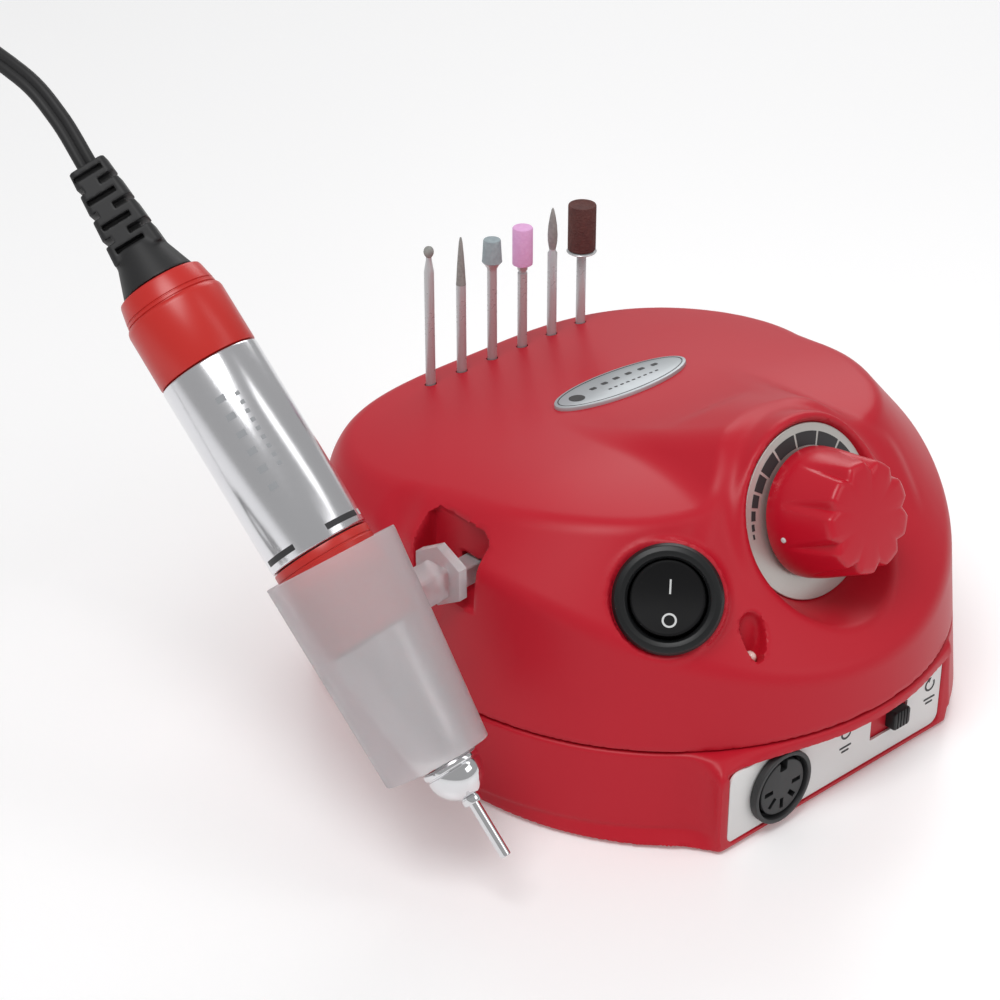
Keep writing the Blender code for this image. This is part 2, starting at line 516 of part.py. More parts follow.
S = SHANK_R
lathe("bit_1_ball", [(0, 0), (S, 0), (S, 38.0), (0.7, 40.5), (0.7, 41.6), (1.05, 42.2), (1.15, 42.8), (0.85, 43.5), (0, 43.8)], bit_frame(0), STEEL, seg=12)
lathe("bit_2_needle", [(0, 0), (S, 0), (S, 31.5), (0.95, 35.5), (0.35, 43.0), (0, 43.3)], bit_frame(1), STEEL, seg=12)
lathe("bit_3_shank", [(0, 0), (S, 0), (S, 34.0), (0.7, 34.2), (0.7, 38.0), (0, 38.0)], bit_frame(2), STEEL, seg=12)
lathe("bit_3_stone", [(1.0, 34.5), (1.75, 34.5), (2.1, 39.9), (0, 39.9), (0, 38.4), (1.0, 38.4)], bit_frame(2), STONE_GREY, ring=True, seg=16)
lathe("bit_4_shank", [(0, 0), (S, 0), (S, 30.3), (0.7, 30.5), (0.7, 38.0), (0, 38.0)], bit_frame(3), STEEL, seg=12)
lathe("bit_4_stone", [(1.0, 30.8), (2.1, 30.8), (2.1, 40.3), (0, 40.3), (0, 38.4), (1.0, 38.4)], bit_frame(3), STONE_PINK, ring=True, seg=16)
lathe("bit_5_flame", [(0, 0), (S, 0), (S, 31.0), (0.8, 32.0), (1.15, 36.0), (0.7, 40.5), (0.25, 42.2), (0, 42.4)], bit_frame(4), STEEL, seg=12)
lathe("bit_6_mandrel", [(0, 0), (S, 0), (S, 28.0), (2.6, 28.1), (2.6, 28.9), (0.9, 29.0), (0.9, 39.0), (0, 39.0)], bit_frame(5), STEEL, seg=16)
lathe("bit_6_sanding_band", [(1.2, 29.3), (3.05, 29.3), (3.05, 40.6), (0, 40.6), (0, 39.4), (1.2, 39.4)], bit_frame(5), GRIT, ring=True, seg=20)

# ---------------------------------------------------------------- handpiece
relief = [(0, -110.0), (3.4, -110.0)]
for k in range(4):
    z = -108.6 + 4.4 * k
    relief += [(3.1 + 0.12 * k, z), (5.0 + 0.12 * k, z + 0.1), (5.0 + 0.12 * k, z + 2.3), (3.1 + 0.12 * k, z + 2.4)]
relief += [(3.7, -90.6), (5.3, -90.2), (8.0, -81.5), (0, -81.5)]
lathe("strain_relief", relief, hand_frame, RUBBER, seg=20)
lathe("rear_cap", [(3.0, -81.2), (8.8, -81.2), (9.6, -75.6), (10.9, -74.6), (11.0, -61.8), (9.2, -61.8), (9.2, -74.0), (3.0, -78.0)], hand_frame, HAND_RED, ring=True)
lathe("barrel_sleeve", [(11.0, -61.5), (11.0, -17.6), (9.6, -17.6), (9.6, -61.5)], hand_frame, ALU, ring=True, seg=32)
lathe("lock_collar", [(10.9, -17.3), (10.7, 3.4), (9.3, 3.4), (9.3, -17.3)], hand_frame, HAND_RED, ring=True)
lathe("nose_cone", [(9.6, 3.7), (9.4, 12.0), (8.0, 24.0), (6.4, 32.8), (4.2, 32.8), (6.4, 24.0), (6.9, 3.7)], hand_frame, ALU, ring=True)
lathe("nose_tip", [(6.0, 33.1), (6.0, 35.6), (5.2, 38.4), (3.4, 40.6), (2.0, 41.4), (1.8, 42.8), (1.5, 42.8), (1.5, 40.4), (3.6, 38.2), (3.6, 33.1)], hand_frame, STEEL, ring=True)
lathe("motor_can", [(2.9, -58), (9.0, -58), (9.0, -14), (2.9, -14), (2.9, -15.4), (7.2, -15.4), (7.2, -56.6), (2.9, -56.6)], hand_frame, IRON, ring=True, seg=20)
lathe("motor_rotor", [(0, -59), (1.5, -59), (1.5, -52), (6.4, -51), (6.4, -24), (1.5, -23), (1.5, 22.0), (0, 22.0)], hand_frame, COPPER, seg=16)
lathe("rear_bearing", [(1.9, -11.5), (5.9, -11.5), (5.9, -7.5), (1.9, -7.5)], hand_frame, STEEL, ring=True, seg=16)
lathe("front_bearing", [(1.9, 12.0), (5.9, 12.0), (5.9, 16.0), (1.9, 16.0)], hand_frame, STEEL, ring=True, seg=16)
lathe("collet_chuck", [(0, 22.4), (3.2, 22.4), (3.2, 38.0), (1.5, 39.8), (1.5, 26.0), (0, 26.0)], hand_frame, STEEL, seg=16)
lathe("fitted_bit", [(0, 26.4), (S, 26.4), (S, 55.0), (0.9, 55.3), (0, 55.3)], hand_frame, STEEL, seg=12)

# ---------------------------------------------------------------- handpiece lead
# Straight out of the strain relief, over in one arch, down to the table and into a coil.
HAND_REAR = HAND_AT - HAND_N * (110.0 + GAP)


def smooth_route(points, steps):
    """Smooth curve through the route's own points (Catmull-Rom, centripetal)."""
    pts = [Vector(p) for p in points]
    pts = [pts[0] * 2 - pts[1]] + pts + [pts[-1] * 2 - pts[-2]]
    out = []
    for a, b, c, d in zip(pts, pts[1:], pts[2:], pts[3:]):
        t0 = 0.0
        t1 = t0 + (b - a).length ** 0.5
        t2 = t1 + (c - b).length ** 0.5
        t3 = t2 + (d - c).length ** 0.5
        for k in range(steps):
            t = t1 + (t2 - t1) * k / steps
            p1 = a * ((t1 - t) / (t1 - t0)) + b * ((t - t0) / (t1 - t0))
            p2 = b * ((t2 - t) / (t2 - t1)) + c * ((t - t1) / (t2 - t1))
            p3 = c * ((t3 - t) / (t3 - t2)) + d * ((t - t2) / (t3 - t2))
            q1 = p1 * ((t2 - t) / (t2 - t0)) + p2 * ((t - t0) / (t2 - t0))
            q2 = p2 * ((t3 - t) / (t3 - t1)) + p3 * ((t - t1) / (t3 - t1))
            out.append(q1 * ((t2 - t) / (t2 - t1)) + q2 * ((t - t1) / (t2 - t1)))
    out.append(pts[-2])
    return out


FLOOR = -SHIFT.z
E = HAND_REAR
ROUTE = [E, E - HAND_N * 12, E - HAND_N * 24 + Vector((-2, 0, -1))]
ROUTE += [Vector(p) for p in ((-124, 106, 161), (-140, 114, 160), (-156, 118, 146), (-170, 118, 120), (-181, 115, 88), (-190, 110.5, 52), (-195, 105.5, 24), (-199, 102, 8.0), (-205.5, 98.6, 1.0))]
tube_points = smooth_route(ROUTE, 5)
curve = bpy.data.curves.new("handpiece_lead", "CURVE")
curve.dimensions = "3D"
curve.bevel_depth = CORD_D / 2000
curve.bevel_resolution = 2
curve.use_fill_caps = True
curve.materials.append(RUBBER)
spline = curve.splines.new("POLY")
spline.points.add(len(tube_points) - 1)
for p, q in zip(spline.points, tube_points):
    p.co = (*((q + SHIFT) / 1000), 1)
lead = bpy.data.objects.new("handpiece_lead", curve)
bpy.context.scene.collection.objects.link(lead)
# The coil stands for the rest of the lead; the plug lies at its loose end.
coil_frame = frame_of((COIL_AT.x, COIL_AT.y, FLOOR), (0, 0, 1))
lathe("lead_coil", [(COIL_R1, 0.2), (COIL_R1, COIL_H), (COIL_R0, COIL_H), (COIL_R0, 0.2)], coil_frame, RUBBER, ring=True, seg=36)
plug_frame = frame_of(PLUG_AT, (-0.08, -1, 0))
lathe("din_plug", [(0, 0), (2.6, 0), (3.2, 10), (7.2, 14), (7.8, 18), (7.8, 36), (6.6, 36.4), (6.6, 46), (6.1, 46), (6.1, 38.5), (0, 38.5)], plug_frame, BLACK, seg=24)
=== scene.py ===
import math

import bmesh
import bpy
import numpy as np
from mathutils import Matrix, Vector, noise


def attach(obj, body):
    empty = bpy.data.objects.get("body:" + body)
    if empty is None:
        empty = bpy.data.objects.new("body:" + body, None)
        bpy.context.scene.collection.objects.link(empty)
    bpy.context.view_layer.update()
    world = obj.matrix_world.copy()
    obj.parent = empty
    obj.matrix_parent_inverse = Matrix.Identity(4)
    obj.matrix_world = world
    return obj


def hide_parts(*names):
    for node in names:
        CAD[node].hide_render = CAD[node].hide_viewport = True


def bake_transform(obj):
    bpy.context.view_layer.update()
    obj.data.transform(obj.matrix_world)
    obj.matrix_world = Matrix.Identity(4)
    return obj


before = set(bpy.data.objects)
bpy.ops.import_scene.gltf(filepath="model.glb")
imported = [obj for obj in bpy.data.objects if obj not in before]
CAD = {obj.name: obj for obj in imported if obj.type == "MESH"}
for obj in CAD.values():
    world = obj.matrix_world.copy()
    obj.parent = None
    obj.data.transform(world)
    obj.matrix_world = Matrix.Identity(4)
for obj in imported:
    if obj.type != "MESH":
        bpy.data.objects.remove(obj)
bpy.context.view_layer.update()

scene = bpy.context.scene

# ------------------------------------------------------------------ the unit's own frame, mm
SHIFT = Vector((21.852, -2.358, 1.5))
HALF_WIDTH, HALF_FRONT, HALF_BACK = 67.1, 67.8, 71.0
SQUARE_FRONT, SQUARE_BACK = 2.03, 2.93
DRAFT, PARTING, WALL = 0.10, 21.0, 2.4
SIDE_CREASE, CREASE_DROP, CREASE_POWER = 54.7, 22.0, 1.85
DIAL, DIAL_TILT, DIAL_R = (0.0, -42.3, 57.5), 19.0, 19.2
ROCKER = Vector((-42.8, -42.5, 53.2))
ROCKER_N = Vector((-0.62, -0.58, 0.53)).normalized()
PANEL_X0, PANEL_X1, PANEL_Y, PANEL_TOP, FRAME_Y, BASE_Z = -44.3, 27.9, -60.7, 18.0, -61.7, -0.9
DIN_AT = Vector((-26.8, PANEL_Y, 9.0))
SLOT = (3.5, 15.3, 6.0, 11.4)
LED_AT = Vector((-29.8, -56.2, 40.6))
LED_N = Vector((-0.11, -0.76, 0.64)).normalized()
BIT_X0, BIT_PITCH, BIT_Y, BIT_FOOT, SHANK_R = -22.7, 9.64, 56.9, 49.0, 1.175
REAR = {"foot_jack": -26.0, "mode": -6.0, "fuse": 14.0, "inlet": 31.0}
REAR_Z, REAR_Y = 10.5, 65.4
PEG_TURN, PEG_AT, CUP_REACH = 6.0, Vector((-67.5, -0.8, 50.6)), 26.3
CUP_TILT, HAND_TILT = 39.0, 45.0
HAND_AT = Vector((-93.4, -6.0, 51.5))
POSTS = ((-45.6, -43.6), (41.0, -43.6), (-53.1, 51.6), (43.0, 51.6))
FEET = ((-46.0, -31.5), (35.0, -33.5), (-48.0, 38.0), (43.0, 38.0))
COIL_AT, PLUG_AT = Vector((-214.0, 64.0, 0.0)), Vector((-246.5, 52.0, 6.6))
FLOOR = -SHIFT.z
CORD_W, CORD_T, CORD_LENGTH = 4.4, 2.3, 1.2


def W(p):
    return (Vector(p) + SHIFT) / 1000


def frame_of(origin, axis, roll=None):
    axis = Vector(axis).normalized()
    side = Vector(roll) if roll is not None else (Vector((1, 0, 0)) if abs(axis.x) < 0.9 else Vector((0, 1, 0)))
    y = axis.cross(side).normalized()
    x = y.cross(axis)
    m = Matrix((x, y, axis)).transposed().to_4x4()
    m.translation = W(origin)
    return m


HOME = frame_of((0, 0, 0), (0, 0, 1))
_b = math.radians(PEG_TURN)
PEG, LAT = Vector((-math.cos(_b), -math.sin(_b), 0)), Vector((math.sin(_b), -math.cos(_b), 0))


def leaning(deg):
    t = math.radians(deg)
    return Vector((0, 0, -1)) * math.cos(t) + LAT * math.sin(t)


CUP_N, HAND_N = leaning(CUP_TILT), leaning(HAND_TILT)
T = math.radians(DIAL_TILT)
DIAL_N = Vector((0, -math.cos(T), math.sin(T)))
dial_frame = frame_of(DIAL, DIAL_N, roll=(1, 0, 0))
rocker_side = Vector((0, 0, 1)).cross(ROCKER_N).normalized()
rocker_frame = frame_of(ROCKER, ROCKER_N, roll=rocker_side)
led_frame = frame_of(LED_AT, LED_N)
peg_frame = frame_of(PEG_AT, PEG, roll=LAT)
cup_frame = frame_of(HAND_AT, CUP_N, roll=PEG)
hand_frame = frame_of(HAND_AT, HAND_N, roll=PEG)
din_frame = frame_of(DIN_AT, (0, -1, 0), roll=(1, 0, 0))

# ------------------------------------------------------------------ camera, first
VIEW_AZ, VIEW_EL = 41.5, 30.0
_e, _p = math.radians(VIEW_EL), math.radians(VIEW_AZ)
cam_dir = Vector((-math.sin(_p) * math.cos(_e), -math.cos(_p) * math.cos(_e), math.sin(_e)))
cam = bpy.data.cameras.new("camera")
cam.lens = 88.56
cam.sensor_width = 36
cam.clip_start, cam.clip_end = 0.01, 20
camera = bpy.data.objects.new("camera", cam)
scene.collection.objects.link(camera)
right = Vector((math.cos(_p), -math.sin(_p), 0))
up = cam_dir.cross(right)
m = Matrix((right, up, cam_dir)).transposed().to_4x4()
m.translation = W((-15, 41, 30)) + cam_dir * (2460 / 4.19 / 1000)
camera.matrix_world = m
scene.camera = camera
scene.view_settings.view_transform = "Standard"

# ------------------------------------------------------------------ materials


def nodes_of(name):
    mat = bpy.data.materials.new(name)
    mat.use_nodes = True
    return mat, mat.node_tree, mat.node_tree.nodes["Principled BSDF"]


def srgb(r, g, b):
    f = lambda c: (c / 255 / 12.92) if c / 255 <= 0.04045 else ((c / 255 + 0.055) / 1.055) ** 2.4
    return (f(r), f(g), f(b), 1.0)


def plastic(name, colour, rough=0.35, grain=1600.0, bump=0.012, mottle=0.04, spec=0.5, coat=0.0, coat_rough=0.15, painted_edge_highlight=0.0):
    """Moulded plastic: faint mould texture, small change of colour, roughness that varies."""
    mat, tree, b = nodes_of(name)
    n, l = tree.nodes, tree.links
    tc = n.new("ShaderNodeTexCoord")
    fine = n.new("ShaderNodeTexNoise"); fine.inputs["Scale"].default_value = grain; fine.inputs["Detail"].default_value = 3
    wide = n.new("ShaderNodeTexNoise"); wide.inputs["Scale"].default_value = 38; wide.inputs["Detail"].default_value = 4
    l.new(tc.outputs["Object"], fine.inputs["Vector"]); l.new(tc.outputs["Object"], wide.inputs["Vector"])
    mix = n.new("ShaderNodeMix"); mix.data_type = "RGBA"; mix.blend_type = "MULTIPLY"
    mix.inputs["Factor"].default_value = 1.0
    ramp = n.new("ShaderNodeMapRange"); ramp.inputs["To Min"].default_value = 1 - mottle; ramp.inputs["To Max"].default_value = 1 + mottle
    l.new(wide.outputs["Fac"], ramp.inputs["Value"])
    comb = n.new("ShaderNodeCombineColor")
    for s in ("Red", "Green", "Blue"):
        l.new(ramp.outputs["Result"], comb.inputs[s])
    mix.inputs["A"].default_value = colour
    l.new(comb.outputs["Color"], mix.inputs["B"])
    out = mix.outputs["Result"]
    # painted highlight: convex edges (high pointiness) are painted paler, standing in for light catching the rounded
    # edges
    if painted_edge_highlight:
        geo = n.new("ShaderNodeNewGeometry")
        edge = n.new("ShaderNodeMapRange"); edge.inputs["From Min"].default_value = 0.53; edge.inputs["From Max"].default_value = 0.62
        edge.inputs["To Max"].default_value = painted_edge_highlight
        l.new(geo.outputs["Pointiness"], edge.inputs["Value"])
        pale = n.new("ShaderNodeMix"); pale.data_type = "RGBA"
        pale.inputs["B"].default_value = tuple(min(1, c * 1.25 + 0.03) for c in colour[:3]) + (1,)
        l.new(edge.outputs["Result"], pale.inputs["Factor"]); l.new(out, pale.inputs["A"])
        out = pale.outputs["Result"]
    l.new(out, b.inputs["Base Color"])
    rr = n.new("ShaderNodeMapRange"); rr.inputs["To Min"].default_value = rough * 0.9; rr.inputs["To Max"].default_value = rough * 1.12
    l.new(wide.outputs["Fac"], rr.inputs["Value"]); l.new(rr.outputs["Result"], b.inputs["Roughness"])
    bp = n.new("ShaderNodeBump"); bp.inputs["Strength"].default_value = 0.35; bp.inputs["Distance"].default_value = bump / 1000
    l.new(fine.outputs["Fac"], bp.inputs["Height"]); l.new(bp.outputs["Normal"], b.inputs["Normal"])
    b.inputs["Specular IOR Level"].default_value = spec
    b.inputs["Coat Weight"].default_value = coat
    b.inputs["Coat Roughness"].default_value = coat_rough
    return mat


def metal(name, colour, rough=0.25, stretch=None, amount=0.25, bump=0.004, scale=900.0):
    """Turned or brushed metal: fine lines stretched across the part's own axis."""
    mat, tree, b = nodes_of(name)
    n, l = tree.nodes, tree.links
    tc = n.new("ShaderNodeTexCoord")
    mp = n.new("ShaderNodeMapping")
    if stretch:
        mp.inputs["Rotation"].default_value = stretch[0]
        mp.inputs["Scale"].default_value = stretch[1]
    l.new(tc.outputs["Object"], mp.inputs["Vector"])
    fine = n.new("ShaderNodeTexNoise"); fine.inputs["Scale"].default_value = scale; fine.inputs["Detail"].default_value = 4
    l.new(mp.outputs["Vector"], fine.inputs["Vector"])
    wide = n.new("ShaderNodeTexNoise"); wide.inputs["Scale"].default_value = 60; wide.inputs["Detail"].default_value = 3
    l.new(tc.outputs["Object"], wide.inputs["Vector"])
    b.inputs["Base Color"].default_value = colour
    b.inputs["Metallic"].default_value = 1.0
    add = n.new("ShaderNodeMath"); add.operation = "MULTIPLY"
    l.new(fine.outputs["Fac"], add.inputs[0]); l.new(wide.outputs["Fac"], add.inputs[1])
    rr = n.new("ShaderNodeMapRange"); rr.inputs["From Max"].default_value = 0.5
    rr.inputs["To Min"].default_value = rough * (1 - amount); rr.inputs["To Max"].default_value = rough * (1 + amount)
    l.new(add.outputs["Value"], rr.inputs["Value"]); l.new(rr.outputs["Result"], b.inputs["Roughness"])
    bp = n.new("ShaderNodeBump"); bp.inputs["Strength"].default_value = 0.3; bp.inputs["Distance"].default_value = bump / 1000
    l.new(fine.outputs["Fac"], bp.inputs["Height"]); l.new(bp.outputs["Normal"], b.inputs["Normal"])
    return mat


def grit(name, colour, dark, scale=2600.0, bump=0.09):
    mat, tree, b = nodes_of(name)
    n, l = tree.nodes, tree.links
    tc = n.new("ShaderNodeTexCoord")
    v = n.new("ShaderNodeTexVoronoi"); v.inputs["Scale"].default_value = scale
    z = n.new("ShaderNodeTexNoise"); z.inputs["Scale"].default_value = scale * 0.4; z.inputs["Detail"].default_value = 4
    l.new(tc.outputs["Object"], v.inputs["Vector"]); l.new(tc.outputs["Object"], z.inputs["Vector"])
    ramp = n.new("ShaderNodeMix"); ramp.data_type = "RGBA"
    ramp.inputs["A"].default_value, ramp.inputs["B"].default_value = dark, colour
    l.new(z.outputs["Fac"], ramp.inputs["Factor"]); l.new(ramp.outputs["Result"], b.inputs["Base Color"])
    b.inputs["Roughness"].default_value = 0.9
    bp = n.new("ShaderNodeBump"); bp.inputs["Strength"].default_value = 0.9; bp.inputs["Distance"].default_value = bump / 1000
    l.new(v.outputs["Distance"], bp.inputs["Height"]); l.new(bp.outputs["Normal"], b.inputs["Normal"])
    return mat


M = {}
# the case gets the painted edge highlight on its convex edges
M["red"] = plastic("red_case", srgb(188, 24, 42), rough=0.4, bump=0.01, mottle=0.03, painted_edge_highlight=0.2, spec=0.28)
M["knob_red"] = plastic("red_knob", srgb(192, 18, 40), rough=0.3, bump=0.006, mottle=0.02, spec=0.4)
M["hand_red"] = plastic("red_handpiece", srgb(196, 40, 34), rough=0.32, bump=0.006, mottle=0.04)
M["black"] = plastic("black_plastic", srgb(26, 27, 28), rough=0.38, bump=0.014, mottle=0.08)
M["satin_black"] = plastic("satin_black_plastic", srgb(27, 28, 29), rough=0.36, bump=0.01, mottle=0.06, spec=0.3)
M["rocker"] = plastic("rocker_plastic", srgb(22, 22, 23), rough=0.5, bump=0.01, mottle=0.05, spec=0.1)
M["socket"] = plastic("grey_socket_plastic", srgb(42, 43, 44), rough=0.5, bump=0.02, mottle=0.06)
# near-black painted shade for the inside of holes; no piece uses it
M["void"] = plastic("dark_hole", srgb(8, 8, 8), rough=0.8, bump=0.01)
M["rubber"] = plastic("black_rubber", srgb(38, 38, 39), rough=0.5, bump=0.02, mottle=0.1, spec=0.35)
M["label"] = plastic("silver_label", srgb(226, 225, 224), rough=0.4, bump=0.004, mottle=0.015)
M["badge"] = metal("badge_silver", srgb(184, 189, 192), rough=0.4, bump=0.002, amount=0.1)
M["badge"].node_tree.nodes["Principled BSDF"].inputs["Metallic"].default_value = 0.55
M["ink"] = plastic("printed_ink", srgb(46, 46, 48), rough=0.5, bump=0.003)
M["white_ink"] = plastic("white_ink", srgb(205, 206, 206), rough=0.5, bump=0.003)
M["dial"] = metal("dial_plate_metal", srgb(206, 205, 200), rough=0.36, amount=0.2, bump=0.003)
M["dial"].node_tree.nodes["Principled BSDF"].inputs["Metallic"].default_value = 0.7
M["shank"] = metal("bit_shank_steel", srgb(196, 198, 200), rough=0.3, bump=0.002)
# low metallic makes the shanks diffuse white: a painted stand-in for their blown highlights and the reflection of the
# white floor
M["shank"].node_tree.nodes["Principled BSDF"].inputs["Metallic"].default_value = 0.3
M["steel"] = metal("ground_steel", srgb(205, 205, 206), rough=0.2, bump=0.003)
M["chrome"] = metal("polished_chrome", srgb(222, 222, 224), rough=0.08, amount=0.3, bump=0.001)
M["alu"] = metal("satin_aluminium", srgb(226, 226, 229), rough=0.2, bump=0.003, amount=0.15)
M["cone"] = metal("cone_aluminium", srgb(215, 213, 212), rough=0.3, bump=0.003)
M["copper"] = metal("winding_wire", srgb(190, 110, 60), rough=0.35, bump=0.1, scale=400)
M["iron"] = metal("core_iron", srgb(120, 122, 126), rough=0.45, bump=0.05, scale=300)
M["board"] = plastic("board_green", srgb(20, 92, 48), rough=0.35, bump=0.02)
M["stone_grey"] = grit("stone_grey_green", srgb(172, 184, 188), srgb(138, 150, 156))
M["stone_pink"] = grit("stone_pink", srgb(240, 190, 232), srgb(222, 160, 212))
M["band"] = grit("sanding_band", srgb(110, 68, 62), srgb(72, 42, 42), bump=0.16, scale=2000)
M["flame"] = grit("diamond_grit", srgb(176, 176, 172), srgb(120, 120, 118), bump=0.06, scale=3200)

mat, tree, b = nodes_of("led_lens")
b.inputs["Base Color"].default_value = srgb(226, 196, 190)
b.inputs["Roughness"].default_value = 0.12
# painted glow: the light is off, and the weak emission only brightens the lens
b.inputs["Emission Color"].default_value = srgb(255, 214, 200)
b.inputs["Emission Strength"].default_value = 0.05
M["led"] = mat

mat, tree, b = nodes_of("frosted_plastic")
n, l = tree.nodes, tree.links
b.inputs["Base Color"].default_value = srgb(238, 234, 236)
b.inputs["Roughness"].default_value = 0.38
b.inputs["IOR"].default_value = 1.2
b.inputs["Transmission Weight"].default_value = 0.7
b.inputs["Subsurface Weight"].default_value = 0.25
b.inputs["Subsurface Radius"].default_value = (0.004, 0.003, 0.003)
tc = n.new("ShaderNodeTexCoord")
nz = n.new("ShaderNodeTexNoise"); nz.inputs["Scale"].default_value = 1300; nz.inputs["Detail"].default_value = 3
l.new(tc.outputs["Object"], nz.inputs["Vector"])
bp = n.new("ShaderNodeBump"); bp.inputs["Strength"].default_value = 0.4; bp.inputs["Distance"].default_value = 2e-5
l.new(nz.outputs["Fac"], bp.inputs["Height"]); l.new(bp.outputs["Normal"], b.inputs["Normal"])
M["frost"] = mat


def link(name, bm, where, mat, body, replaces=(), sharp=35, smooth=True, mats=()):
    bmesh.ops.recalc_face_normals(bm, faces=bm.faces)
    bmesh.ops.scale(bm, vec=(0.001,) * 3, verts=bm.verts)
    me = bpy.data.meshes.new(name)
    bm.to_mesh(me)
    bm.free()
    ob = bpy.data.objects.new(name, me)
    scene.collection.objects.link(ob)
    ob.matrix_world = where
    for k in [mat, *mats]:
        me.materials.append(M[k])
    if smooth:
        me.shade_smooth()
        me.set_sharp_from_angle(angle=math.radians(sharp))
    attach(ob, body)
    if replaces:
        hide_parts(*replaces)
    return ob




def soften(profile, r, ring=False, n=3):
    """Profile corners rounded with radius r (mm)."""
    pts = [Vector((p[0], p[1])) for p in profile]
    out = []
    count = len(pts)
    for i, p in enumerate(pts):
        if not ring and i in (0, count - 1):
            out.append(p); continue
        a, c = pts[(i - 1) % count], pts[(i + 1) % count]
        if p.x < 1e-6:
            out.append(p); continue
        u, v = a - p, c - p
        lu, lv = u.length, v.length
        if lu < 1e-6 or lv < 1e-6:
            out.append(p); continue
        u.normalize(); v.normalize()
        ang = math.acos(max(-1, min(1, u.dot(v))))
        if ang > math.radians(165):
            out.append(p); continue
        d = min(r / max(math.tan(ang / 2), 0.05), 0.42 * lu, 0.42 * lv)
        s, e = p + u * d, p + v * d
        for k in range(n + 1):
            t = k / n
            out.append(s * (1 - t) ** 2 + p * 2 * t * (1 - t) + e * t**2)
    return [(q.x, q.y) for q in out]


def lathe_bm(profile, ring=False, seg=64, bm=None, shift=(0, 0)):
    bm = bm or bmesh.new()
    rows = []
    for r, h in profile:
        if r < 1e-6:
            rows.append([bm.verts.new((shift[0], shift[1], h))])
        else:
            rows.append([bm.verts.new((shift[0] + r * math.cos(2 * math.pi * i / seg), shift[1] + r * math.sin(2 * math.pi * i / seg), h)) for i in range(seg)])
    pairs = list(zip(rows, rows[1:])) + ([(rows[-1], rows[0])] if ring else [])
    for a, b in pairs:
        for i in range(seg):
            j = (i + 1) % seg
            if len(a) == 1 and len(b) == 1:
                continue
            if len(a) == 1:
                bm.faces.new((a[0], b[i], b[j]))
            elif len(b) == 1:
                bm.faces.new((a[i], b[0], a[j]))
            else:
                bm.faces.new((a[i], b[i], b[j], a[j]))
    return bm


def lathe(name, profile, where, mat, body, ring=False, seg=64, round_by=0.0, replaces=(), sharp=40):
    if round_by:
        profile = soften(profile, round_by, ring)
    return link(name, lathe_bm(profile, ring, seg), where, mat, body, replaces, sharp)


def prism_bm(outline, z0, z1, bm=None, bevel=0.0):
    """Outline extruded; the top edge is chamfered by bevel."""
    bm = bm or bmesh.new()
    pts = [Vector((p[0], p[1])) for p in outline]
    n = len(pts)

    def inset(d):
        out = []
        area = sum(pts[i].x * pts[(i + 1) % n].y - pts[(i + 1) % n].x * pts[i].y for i in range(n))
        s = 1 if area > 0 else -1
        for i, p in enumerate(pts):
            a, c = pts[i - 1], pts[(i + 1) % n]
            u, v = (p - a).normalized(), (c - p).normalized()
            nu, nv = Vector((-u.y, u.x)) * s, Vector((-v.y, v.x)) * s
            k = (nu + nv)
            k = k / max(k.length_squared / 2, 0.3) if k.length > 1e-6 else nu
            out.append(p + k * d)
        return out

    layers = [(z0, pts)]
    if bevel:
        layers += [(z1 - bevel, pts), (z1 - bevel * 0.3, inset(bevel * 0.3)), (z1, inset(bevel))]
    else:
        layers += [(z1, pts)]
    rows = [[bm.verts.new((p.x, p.y, z)) for p in ring] for z, ring in layers]
    bm.faces.new(rows[0]); bm.faces.new(rows[-1])
    for a, b in zip(rows, rows[1:]):
        for i in range(n):
            j = (i + 1) % n
            bm.faces.new((a[i], a[j], b[j], b[i]))
    return bm


def prism(name, outline, z0, z1, where, mat, body, bevel=0.0, replaces=(), sharp=30):
    return link(name, prism_bm(outline, z0, z1, bevel=bevel), where, mat, body, replaces, sharp)


def rounded(w, h, r, n=6, cx=0.0, cy=0.0):
    pts = []
    for sx, sy, a0 in ((1, 1, 0), (-1, 1, 90), (-1, -1, 180), (1, -1, 270)):
        for i in range(n + 1):
            a = math.radians(a0 + 90 * i / n)
            pts.append((cx + sx * (w / 2 - r) + r * math.cos(a), cy + sy * (h / 2 - r) + r * math.sin(a)))
    return pts


# ------------------------------------------------------------------ the case as a field


def smin(a, b, k):
    h = np.clip(0.5 + 0.5 * (b - a) / k, 0, 1)
    return b + (a - b) * h - k * h * (1 - h)


def smax(a, b, k):
    return -smin(-a, -b, k)


def plan(x, y, z):
    x = x + 1.6 + 0.051 * np.maximum(y, 0)
    r = np.sqrt(x * x + y * y) + 1e-6
    lean = DRAFT * (z - PARTING)
    a, bf, bb = HALF_WIDTH + 1.25 * np.clip(-x / 40, -1, 1) - lean, HALF_FRONT - lean, HALF_BACK - lean
    front = (np.abs(x / a) ** SQUARE_FRONT + np.abs(y / bf) ** SQUARE_FRONT) ** (1 / SQUARE_FRONT)
    back = (np.abs(x / a) ** SQUARE_BACK + np.abs(y / bb) ** SQUARE_BACK) ** (1 / SQUARE_BACK)
    w = np.clip(0.5 + y / 40.0, 0, 1)
    w = w * w * (3 - 2 * w)
    rho = front * (1 - w) + back * w
    return r - r / np.maximum(rho, r / 100)


def crown(x, y):
    yb, yf = np.maximum(y, 0), np.minimum(y, 0)
    return 66.8 + 0.014 * x - 0.12 * y - 0.0006 * yb * yb - 0.0035 * yf * yf - 2.5e-7 * x**4


def crease(x, y):
    r = np.sqrt(x * x + y * y) + 1e-6
    return SIDE_CREASE - CREASE_DROP * np.clip(-y / r, 0, 1) ** CREASE_POWER


def dial_space(x, y, z):
    dy, dz = y - DIAL[1], z - DIAL[2]
    return -dy * math.cos(T) + dz * math.sin(T), dy * math.sin(T) + dz * math.cos(T), x - DIAL[0]


